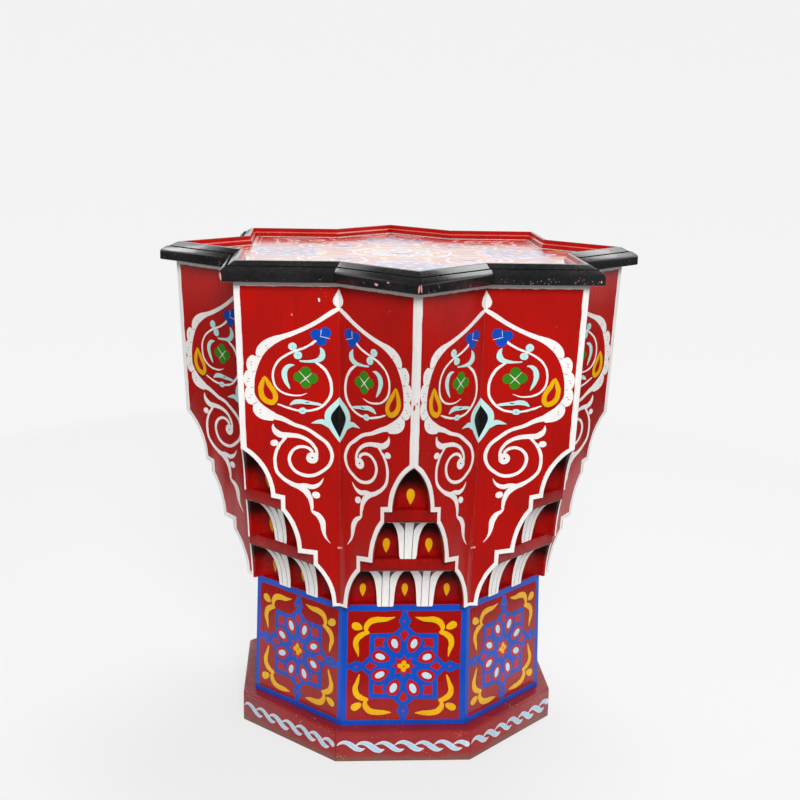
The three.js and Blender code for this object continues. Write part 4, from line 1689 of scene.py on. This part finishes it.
@dataclass
class Pedestal:
    """One board of the octagonal pedestal, with its painted star panel."""

    number: int
    height: float = 172.2
    head_reach: float = BODY.pedestal_head
    foot_reach: float = 162.60
    board: float = 9.0
    joint: float = 0.04
    edge_ease: float = 0.15
    middle: float = 102.4
    hand_sway: float = 0.9
    # Blue frame: its widths at the sides, above and below, and what it leaves free
    frame_width: float = 5.9
    frame_top: float = 7.0
    frame_foot: float = 6.2
    frame_waver: float = 0.25
    frame_samples: int = 40
    side_gap: float = 0.03
    top_gap: float = 0.5
    foot_gap: float = 0.4
    art: Ornament = field(init=False)

    def __post_init__(self) -> None:
        """Start the ornament on the board's face."""
        face = OctagonFace(self.number, self.foot_reach, self.head_reach, self.height)
        self.art = Ornament(face, 500 + self.number, self.hand_sway)

    def build_board(self) -> None:
        """Build the board: its face leans in from foot to head, and its edges are eased."""
        foot, head = self.foot_reach, self.head_reach
        corners = [(foot - self.board, 0, 0.1), (foot, 0, 0.4), (head, self.height, 0.5),
                   (head - self.board, self.height, 0.1)]
        points = rounded(corners, 3)
        front = points[:, 0] > self.head_reach - 0.6
        ease = np.where(front, self.edge_ease, 0.0)
        rings = mitred_bar(points, ease, -CORNER, CORNER, self.joint)
        shells = Shells()
        shells.grid(turned(rings, point_turn(self.number)))
        shells.build(f"pedestal_{self.number}_board", [Paint.STAND], 30.0, "pedestal_paint",
                     f"pedestal_board_{self.number}")

    def ornament(self) -> None:
        """Build the painted panel: borders, knots, star lattice, cells and corner leaves."""
        self.borders()
        self.lattice()
        for sx in (-1, 1):
            for sz in (-1, 1):
                self.corner_leaf(sx, sz)
        self.art.build(f"pedestal_{self.number}_ornament", "pedestal_paint")

    def borders(self) -> None:
        """Paint the blue frame: two uprights at the corners, and a band above and below."""
        art, waver = self.art, self.frame_waver
        half = self.foot_reach * math.tan(CORNER) - self.side_gap
        low, high = BODY.plinth_top + self.foot_gap, self.height - self.top_gap
        size = self.frame_samples
        heights = np.linspace(low, high, size)
        for side in (-1, 1):
            inner = side * (half - self.frame_width + art.tremble(size, waver))
            art.skin(Paint.BLUE, joined(side * half, heights), joined(inner, heights), sway=False)
        across = np.linspace(-half + 2, half - 2, size)
        for z0, z1 in ((high, high - self.frame_top), (low, low + self.frame_foot)):
            art.skin(Paint.BLUE, joined(across, z0), joined(across, z1 + art.tremble(size, waver)),
                     sway=False)

    def lattice(self) -> None:
        """Paint the blue star of two squares, with red cells, pale ovals and a gold flower."""
        art, blue, core = self.art, Paint.BLUE, Paint.CORE
        centre = np.array([0.0, self.middle])
        tip, half = 49.0, 37.2
        quarter = np.array([(tip, 0), (half, tip - half), (half, half), (tip - half, half)])
        spins = [np.array([[c, -s], [s, c]]) for c, s in ((1, 0), (0, 1), (-1, 0), (0, -1))]
        art.cell(blue, centre + np.vstack([quarter @ spin.T for spin in spins]), 1, 0.3,
                 centre)
        knot = np.array([(61.4, 3.2), (57.6, 3.4), (50.8, 7.2), (44.0, 3.4), (44.0, -3.4), (50.8, -7.0),
            (57.6, -3.4), (61.4, -3.2)])
        lozenge = np.array([(28.0, 0.2), (36.0, 5.0), (41.4, 0.4), (36.2, -4.8)])
        corner = np.array([(31.7, 31.5), (19.2, 31.5), (22.8, 25.8), (20.6, 20.8), (25.6, 23.2),
            (31.7, 20.4)])
        for turn, spin in enumerate(spins):
            art.cell(blue, centre + knot @ spin.T, 1, 1.0)
            art.blob(core, centre + spin @ [50.8, 0.2], 2.7, 2.5, level=2)
            art.cell(core, centre + lozenge @ spin.T, 2, 0.25)
            art.cell(core, centre + corner @ spin.T, 2, 0.4, centre + spin @ [27.6, 27.6])
            for bend in (22.5, 67.5):
                place = 26.4 * way(math.radians(bend))
                tilt = bend + 90 * turn + art.random.normal(0, 3)
                art.blob(core, centre + spin @ place, 19.8, 13.6, tilt + 180, level=2, point=0.28)
                art.blob(Paint.DOT, centre + spin @ (place * 1.03), 11.2 + art.random.normal(0, 0.4),
                         7.2, tilt, level=3)
        art.cell(core, centre + pointed(12.8, 7.6), 2, 0.4, centre)
        for k in range(4):
            angle = math.radians(90 * k + 90 + art.random.normal(0, 4))
            spot = centre + 3.5 * way(angle)
            art.blob(Paint.GOLD, spot, 6.4, 5.6, math.degrees(angle), level=3)
        art.blob(core, tuple(centre), 2.0, 2.0, level=5)

    def corner_leaf(self, sx: int, sz: int) -> None:
        """Paint the gold flourish of one corner: a bud, a level leaf and an upright leaf.

        Args:
            sx: Side, -1 or 1.
            sz: -1 for below and 1 for above.
        """
        art = self.art
        level = np.array([(40.8, 38.2, 2.8), (41.4, 44.6, 5.6), (37.6, 50.2, 6.8), (30, 52.6, 6.6),
            (20.6, 52.8, 5.0), (10.8, 55.2, 0.7)])
        upright = np.array([(37.6, 38.6, 3.0), (44.6, 36.6, 6.0), (50.4, 32.0, 6.8), (52, 25.6, 6.2),
            (50.2, 18.8, 4.4), (48.6, 10.6, 0.7)])
        if sz < 0:
            level[-1], upright[-1] = (12.4, 53.0, 0.7), (47.2, 9.0, 1.6)
        flip, foot = np.array([sx, sz, 1]), np.array([0, self.middle, 0])
        for leaf, shift in ((upright, (-3.3, -1.0, 0)), (level, (0.2, -3.5, 0))):
            dark = (leaf[1:-1] + shift) * flip + foot
            art.line(Paint.BLACK, joined(dark[:, 0], dark[:, 1], 0.8))
        for leaf in (level, upright):
            art.line(Paint.GOLD, leaf * flip + foot, 2, count=34)
        bud, tilt = (sx * 51.2, self.middle + sz * 45.6), math.degrees(math.atan2(sz * 0.5, sx))
        art.blob(Paint.BLACK, bud, 13.8, 9.6, tilt, point=-0.2)
        art.blob(Paint.GOLD, bud, 12.8, 8.6, tilt, level=3, point=-0.2)


@dataclass
class Plinth:
    """One strip of the octagonal plinth, with its painted rope."""

    number: int
    height: float = BODY.plinth_top
    outer: float = 175.32
    back_foot: float = 162.92
    back_head: float = 162.13
    joint: float = 0.1
    edge_ease: float = 0.7
    top_rounding: float = 2.6
    strands: int = 7
    hand_sway: float = 0.8
    rope_end: float = 1.2
    # Unevenness of the strands' places, their range of widths, and the share that the core takes
    strand_waver: float = 0.35
    strand_widths: tuple[float, float] = (0.9, 1.12)
    core_share: float = 0.62

    def build_strip(self) -> None:
        """Build the strip, its top edge and its corners rounded by wear."""
        corners = [(self.back_foot, 0, 0.1), (self.outer, 0, 1.0),
                   (self.outer, self.height, self.top_rounding),
                   (self.back_head, self.height, 0.3)]
        points = rounded(corners, 6)
        front = points[:, 0] > self.outer - self.top_rounding - 0.1
        ease = np.where(front, self.edge_ease, 0.0)
        rings = mitred_bar(points, ease, -CORNER, CORNER, self.joint)
        shells = Shells()
        shells.grid(turned(rings, point_turn(self.number)))
        shells.build(f"plinth_{self.number}_strip", [Paint.PLINTH], 45.0, "plinth_paint",
                     f"plinth_strip_{self.number}")

    def rope(self) -> None:
        """Build the painted rope: seven S-shaped strands, white round a pale blue core."""
        face = OctagonFace(self.number, self.outer, self.outer, self.height)
        art = Ornament(face, 700 + self.number, self.hand_sway)
        half = self.outer * math.tan(CORNER)
        # The last strand runs on past the strip's corner by a fifth of its pitch
        pitch = 2 * (half - 1.5) / (self.strands - 0.2)
        strand = np.array([(-1, 17.6, 0.8), (3.4, 20.6, 2.6), (8.4, 21.6, 4.4), (13.2, 20.0, 5.8),
            (17.6, 16.9, 6.6), (21.8, 14.0, 6.2), (26, 12.8, 4.6), (31.2, 14.2, 0.8)])
        for turn in range(self.strands):
            lift = art.random.normal(0, self.strand_waver)
            shift = np.array([turn * pitch - half + 1.0, lift, 0.0])
            line = strand * [1, 1, art.random.uniform(*self.strand_widths)] + shift
            line[:, 0] = np.clip(line[:, 0], self.rope_end - half, half - self.rope_end)
            line = line[np.concatenate([[True], np.diff(line[:, 0]) > 0.4])]
            if len(line) < 3:
                continue
            art.line(Paint.ROPE, line, 1, count=30)
            core = line[1:-1] * [1, 1, self.core_share] + [0.6, -0.3, 0]
            if len(core) > 2:
                art.line(Paint.ROPE_CORE, core, 2, count=22)
        art.build(f"plinth_{self.number}_rope", "plinth_paint")


# Tray

@dataclass
class Tray:
    """Sunken floor of the tray: red, with four blue stars, white scrolls and a medallion."""

    level: float = BODY.tray_floor
    hand_sway: float = 0.5
    art: Ornament = field(init=False)

    def __post_init__(self) -> None:
        """Start the ornament on the floor."""
        self.art = Ornament(TrayFace(self.level), 900, self.hand_sway)

    def star(self, distance: float) -> Array:
        """Closed outline of the star whose sides are this far from the middle."""
        number = np.arange(2 * POINTS + 1) % (2 * POINTS)
        radius = distance / np.cos(np.where(number % 2 == 0, TIP, CORNER))
        angle = number * CORNER - QUARTER
        return joined(radius * np.cos(angle), radius * np.sin(angle))

    def paint(self) -> None:
        """Build the ornament of the floor."""
        art = self.art
        for far, near in ((0.6, 4.6), (7.4, 9.0)):
            outer, inner = (self.star(BODY.side - BODY.rim_seat - gap) for gap in (far, near))
            art.skin(Paint.TRAY_WHITE, outer, inner, closed=True, sway=False)
        for quarter in range(4):
            art.ground = TrayFace(self.level, quarter * QUARTER)
            self.blue_star()
            art.ground = TrayFace(self.level, quarter * QUARTER + TIP)
            self.scrolls()
        art.ground = TrayFace(self.level)
        self.medallion()
        art.build("tray_ornament", "tray_paint")

    def blue_star(self) -> None:
        """Paint one blue star, with red cells and pale ovals, in the star point along -Y."""
        art, white, pale, gold = self.art, Paint.TRAY_WHITE, Paint.TRAY_PALE, Paint.TRAY_GOLD
        centre = np.array([0.0, -128.0])
        stars = ((47.0, 36.5, white), (44.4, 34.2, Paint.TRAY_BLUE),
                 (12.4, 7.6, Paint.TRAY_CORE))
        for layer, (long, short, paint) in enumerate(stars):
            art.cell(paint, centre + pointed(long, short), layer + 1, 0.6, centre)
        for k in range(POINTS):
            between, ahead = (k + 0.5) * TIP, k * TIP
            tilt = math.degrees(between)
            art.blob(Paint.TRAY_CORE, centre + 22.6 * way(between), 16.4, 11.2, tilt + 180, level=3,
                     point=0.28)
            art.blob(white, centre + 23.4 * way(between), 9.8, 6.2, tilt, level=4)
            art.blob(pale, centre + 36.4 * way(ahead), 8.6, 5.4, math.degrees(ahead),
                     level=3, point=0.2)
        for k in range(4):
            angle = math.radians(90 * k + 45)
            art.blob(gold, centre + 3.6 * way(angle), 6.0, 4.8, math.degrees(angle), level=4)
        for side in (-1, 1):
            flip = np.array([side, 1, 1])
            art.line(gold, flip * [(8, -186, 1.0), (15, -184, 4.4), (24, -176, 5.2), (34, -170, 1.0)])
            art.line(white, flip * [(2.5, -222, 0.8), (8, -206, 3.2), (16, -194, 3.6), (28, -186, 3.0),
                (40, -178, 0.8)])
        art.blob(pale, (0, -196), 17, 8.6, 90, level=1, point=-0.4)

    def scrolls(self) -> None:
        """Paint the white scrolls with gold leaves, in the star point along -Y."""
        art, white, pale, gold = self.art, Paint.TRAY_WHITE, Paint.TRAY_PALE, Paint.TRAY_GOLD
        for side in (-1, 1):
            flip = np.array([side, 1, 1])
            art.line(white, flip * [(0.6, -66, 1.6), (8, -74, 3.4), (19, -80, 3.8), (29, -90, 3.8),
                (33, -104, 3.8), (29, -117, 3.8), (19, -124, 3.8), (9, -121, 3.6), (4.4, -112, 3.4),
                (8, -103, 3.2), (15.4, -101.6, 3.0), (19.4, -107, 3.2)], count=80)
            art.blob(white, (side * 17.4, -110.4), 9.4, 9.0, level=2)
            art.blob(Paint.TRAY_CORE, (side * 17.4, -110.4), 2.4, 2.4, level=3)
            art.line(white, flip * [(4, -128, 1.2), (14, -134, 3.6), (27, -133, 4.0), (38, -124, 3.6),
                (44, -112, 3.0), (52, -104, 0.8)])
            art.line(white, flip * [(3, -206, 0.8), (9, -192, 3.2), (20, -180, 3.8), (31, -170, 3.8),
                (34, -158, 3.6), (27, -149, 3.6), (16, -150, 3.4), (13.4, -159, 3.2), (19, -164, 2.6)],
                count=56)
            art.blob(gold, (side * 23.4, -156.6), 7.8, 6.6, level=2)
            art.line(gold, flip * [(40, -92, 0.9), (43.4, -84, 4.8), (41, -74, 5.6), (33, -66, 4.4),
                (24, -63, 0.9)])
            art.line(white, flip * [(52, -66, 0.8), (49.6, -76, 3.2), (51, -87, 3.8), (57, -96, 3.4),
                (66, -101, 0.8)])
            art.line(pale, flip * [(36, -142, 0.8), (42, -146, 4.0), (48, -154, 4.4), (50, -164, 0.8)])
            art.blob(Paint.TRAY_GREEN, (side * 6.6, -140.6), 9.4, 8.0, side * 40)
        art.blob(Paint.TRAY_BLUE, (0, -92), 20, 10.4, 90, level=2, point=0.25)
        art.blob(pale, (0, -92.6), 10.6, 5.0, 90, level=3)
        art.blob(white, (0, -174), 22, 9.4, 90, level=2, point=-0.3)
        art.blob(Paint.TRAY_CORE, (0, -173), 9, 3.6, 90, level=3)

    def medallion(self) -> None:
        """Paint the middle: a white ring, eight loops, and a pale flower on blue."""
        art, white, pale, gold = self.art, Paint.TRAY_WHITE, Paint.TRAY_PALE, Paint.TRAY_GOLD
        a = np.linspace(0, 2 * math.pi, 97)
        circle = joined(np.cos(a), np.sin(a))
        rings = ((56.0, 52.4, white, 1), (48.6, 46.8, gold, 1),
                 (12.8, 0.0, Paint.TRAY_BLUE, 2))
        for outer, inner, paint, level in rings:
            art.skin(paint, outer * circle, inner * circle, level, closed=True, sway=False)
        half = [(14.5, 0, 1.0), (19, -6.6, 2.8), (28, -9.4, 3.2), (37.4, -7.6, 3.2), (42, 0, 3.4)]
        loop = np.array(half + [(x, -y, w) for x, y, w in half[-2::-1]])
        for k in range(POINTS):
            ahead, between = k * TIP, (k + 0.5) * TIP
            art.line(white, turned(loop, ahead), count=52)
            art.blob(pale, 29.4 * way(ahead), 13.4, 7.4, math.degrees(ahead), point=-0.3)
            tilt = math.degrees(between)
            art.blob(gold, 40.6 * way(between), 6.4, 5.2, tilt)
            art.blob(pale, 6.8 * way(between), 9.2, 4.8, tilt, level=3)
            art.blob(white, 63.4 * way(between), 10.4, 6.4, tilt, point=0.35)
        art.blob(gold, (0, 0), 6.4, 6.4, level=4)


# Studio

@dataclass
class Studio:
    """Pale sweep, soft lamps and the camera of the photograph.

    Its lengths are in metres, but for the camera's lens, sensor and place, in millimetres.
    """

    lens: float = 58.62
    sensor: float = 36.0
    place: Size3 = (-96.35, -1453.5, 683.4)
    yaw: float = -3.8364
    pitch: float = -12.5885
    roll: float = 1.1323
    near: float = 0.05
    far: float = 60.0
    # Floor, a little below the table's foot, and the paper sheet on it with its soft edge
    floor_radius: float = 4.0
    floor_drop: float = 0.0002
    floor_corners: int = 64
    sheet_middle: Size3 = (0.0, 0.62, 0.0)
    sheet_radius: float = 1.02
    sheet_edge_share: float = 0.86
    sheet_glow: float = 0.78
    paper: str = "#F6F6F6"
    glow: str = "#F0F0F0"
    shade: str = "#F2F2F2"
    # Light of the room on everything, and how bright the room itself mirrors
    ambient: float = 0.30
    room: float = 0.03
    # Where the lamps look
    aim: Size3 = (0.0, 0.0, 0.3)

    def camera(self) -> None:
        """Set up the camera from its yaw, pitch and roll in degrees."""
        y, p, r = (math.radians(v) for v in (self.yaw, self.pitch, self.roll))
        ahead = Vector((-math.sin(y) * math.cos(p), math.cos(y) * math.cos(p), math.sin(p)))
        level = Vector((math.cos(y), math.sin(y), 0))
        over = level.cross(ahead)
        right = level * math.cos(r) + over * math.sin(r)
        up = -level * math.sin(r) + over * math.cos(r)
        data = bpy.data.cameras.new("camera")
        data.sensor_width, data.lens = self.sensor, self.lens
        data.clip_start, data.clip_end = self.near, self.far
        camera = bpy.data.objects.new("camera", data)
        turn = Matrix((right, up, -ahead)).transposed().to_4x4()
        camera.matrix_world = Matrix.Translation(Vector(self.place) * MM) @ turn
        bpy.context.scene.collection.objects.link(camera)
        bpy.context.scene.camera = camera

    def floor(self) -> None:
        """Lay a wide round floor that fades into the backdrop's colour far from the table."""
        mesh = bpy.data.meshes.new("floor")
        a = np.linspace(0, 2 * math.pi, self.floor_corners + 1)[:-1]
        ring = joined(self.floor_radius * np.cos(a), self.floor_radius * np.sin(a), -self.floor_drop)
        mesh.from_pydata(ring.tolist(), [], [list(range(self.floor_corners))])
        floor = bpy.data.objects.new("floor", mesh)
        bpy.context.scene.collection.objects.link(floor)
        material, add = new_material("pale paper sweep")
        # The sheet is wide behind the table and ends soon in front of it, as its gloss shows
        reach = add("VectorMath", {0: add("TexCoord", output="Object"), 1: self.sheet_middle}, 1,
                    operation="DISTANCE")
        start = self.sheet_radius * self.sheet_edge_share
        fade = add("MapRange", {0: reach, 1: start, 2: self.sheet_radius}, **SMOOTH)
        paper = add("BsdfDiffuse", {0: hex_linear(self.paper)})
        glow = add("Emission", {0: hex_linear(self.glow), 1: 1.0})
        # The camera sees the glow, and so does what mirrors or lets through the sheet
        seen = None
        for ray in ("Is Camera Ray", "Is Glossy Ray", "Is Transmission Ray"):
            part = add("LightPath", output=ray)
            seen = part if seen is None else add("Math", {0: seen, 1: part}, operation="MAXIMUM")
        lit = add("Math", {0: seen, 1: self.sheet_glow}, **TIMES)
        sheet = add("MixShader", {0: lit, 1: paper, 2: glow})
        add("OutputMaterial", {0: add("MixShader", {0: fade, 1: sheet, 2: add("BsdfTransparent")})})
        mesh.materials.append(material)

    def backdrop(self) -> None:
        """Give the world the backdrop's pale grey, as the camera and the gloss of the paint see it.

        The backdrop stands behind the table, from the floor up to about 42 degrees, and is
        white a little above the floor, where it is lit. Where a reflection looks past it, at the
        room in front, above or below, it finds it dim. All other rays get an even soft light.
        """
        world = bpy.data.worlds.new("studio")
        bpy.context.scene.world = world
        world.use_nodes = True
        world.node_tree.nodes.clear()
        add = partial(add_node, world.node_tree)
        direction = add("TexCoord", output="Generated")
        # Where each fade starts and is full, along an axis of the direction of view
        spans = {"foot": ("Z", -0.04, 0.02), "top": ("Z", 0.74, 0.66), "behind": ("Y", -0.1, 0.3),
                 "shade": ("Z", -0.35, 0.1), "band foot": ("Z", 0.06, 0.14), "band top": ("Z", 0.5, 0.4)}
        fade = {}
        for name, (axis, start, full) in spans.items():
            along = add("SeparateXYZ", {0: direction}, axis)
            fade[name] = add("MapRange", {0: along, 1: start, 2: full}, **SMOOTH)
        part = add("Math", {0: fade["foot"], 1: fade["top"]}, **TIMES)
        part = add("Math", {0: part, 1: fade["behind"]}, **TIMES)
        lit = add("Math", {0: fade["band foot"], 1: fade["band top"]}, **TIMES)
        low, high = hex_linear(self.paper), hex_linear(self.shade)
        shown = add("Mix", {0: fade["shade"], 6: low, 7: high}, **MIXED)
        backdrop = add("Mix", {0: lit, 6: shown, 7: (1, 1, 1, 1)}, **MIXED)
        dim = (self.room, self.room, self.room, 1)
        sweep = add("Mix", {0: part, 6: dim, 7: backdrop}, **MIXED)
        mirror = add("Math", {0: add("LightPath", output="Is Glossy Ray"),
                              1: add("LightPath", output="Is Transmission Ray")}, operation="MAXIMUM")
        even = (self.ambient, self.ambient, self.ambient, 1)
        colour = add("Mix", {0: mirror, 6: even, 7: sweep}, **MIXED)
        seen = add("LightPath", output="Is Camera Ray")
        colour = add("Mix", {0: seen, 6: colour, 7: shown}, **MIXED)
        add("OutputWorld", {0: add("Background", {0: colour, 1: 1.0})})

    def lamp(self, name: str, place: Size3, size: float, power: float, shows: bool = True) -> None:
        """Hang one square soft lamp that looks at the table.

        Args:
            name: Name of the lamp.
            place: Its place in metres.
            size: Its side in metres.
            power: Its power in watts.
            shows: Whether the gloss of the paint shows it.
        """
        data = bpy.data.lights.new(name, "AREA")
        data.shape, data.size, data.energy = "SQUARE", size, power
        lamp = bpy.data.objects.new(name, data)
        lamp.location = place
        lamp.visible_glossy = shows
        ahead = Vector(self.aim) - Vector(place)
        lamp.rotation_euler = ahead.to_track_quat("-Z", "Y").to_euler()
        bpy.context.scene.collection.objects.link(lamp)

    def build(self) -> None:
        """Set up the whole studio."""
        self.camera()
        self.floor()
        self.backdrop()
        self.lamp("front lamp", (0.1, -2.95, 2.1), 1.3, 104, shows=False)
        self.lamp("top lamp", (0.4, 0.9, 3.0), 1.2, 47, shows=False)
        self.lamp("rear left lamp", (-1.80, 2.05, 1.95), 0.9, 7)
        self.lamp("rear right lamp", (1.80, 2.05, 2.48), 1.4, 11.5)
        bpy.context.scene.view_settings.view_transform = "Standard"


def dress_boards() -> None:
    """Give the CAD nodes that stay their finish: the tray's floor and the two hidden boards."""
    for node, paint in (("tray_board", Paint.TRAY), ("middle_board", Paint.NICHE),
                        ("base_board", Paint.PINE)):
        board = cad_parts[node]
        board.data.materials.clear()
        board.data.materials.append(paint.material())
        log.info("%s keeps its solid and takes %s", node, paint.value.name)


def main() -> None:
    """Build the studio, then every sub-assembly in order."""
    Studio().build()
    dress_boards()
    for point in range(1, POINTS + 1):
        for hand in Hand:
            panel = StarPanel(point, hand)
            panel.board()
            panel.ornament()
            rim = RimMoulding(point, hand)
            rim.build()
            rim.wear()
        niches = Muqarnas(point)
        niches.carcass()
        niches.trimmings()
        pedestal = Pedestal(point)
        pedestal.build_board()
        pedestal.ornament()
        plinth = Plinth(point)
        plinth.build_strip()
        plinth.rope()
    Tray().paint()


if __name__ == "__main__":
    main()
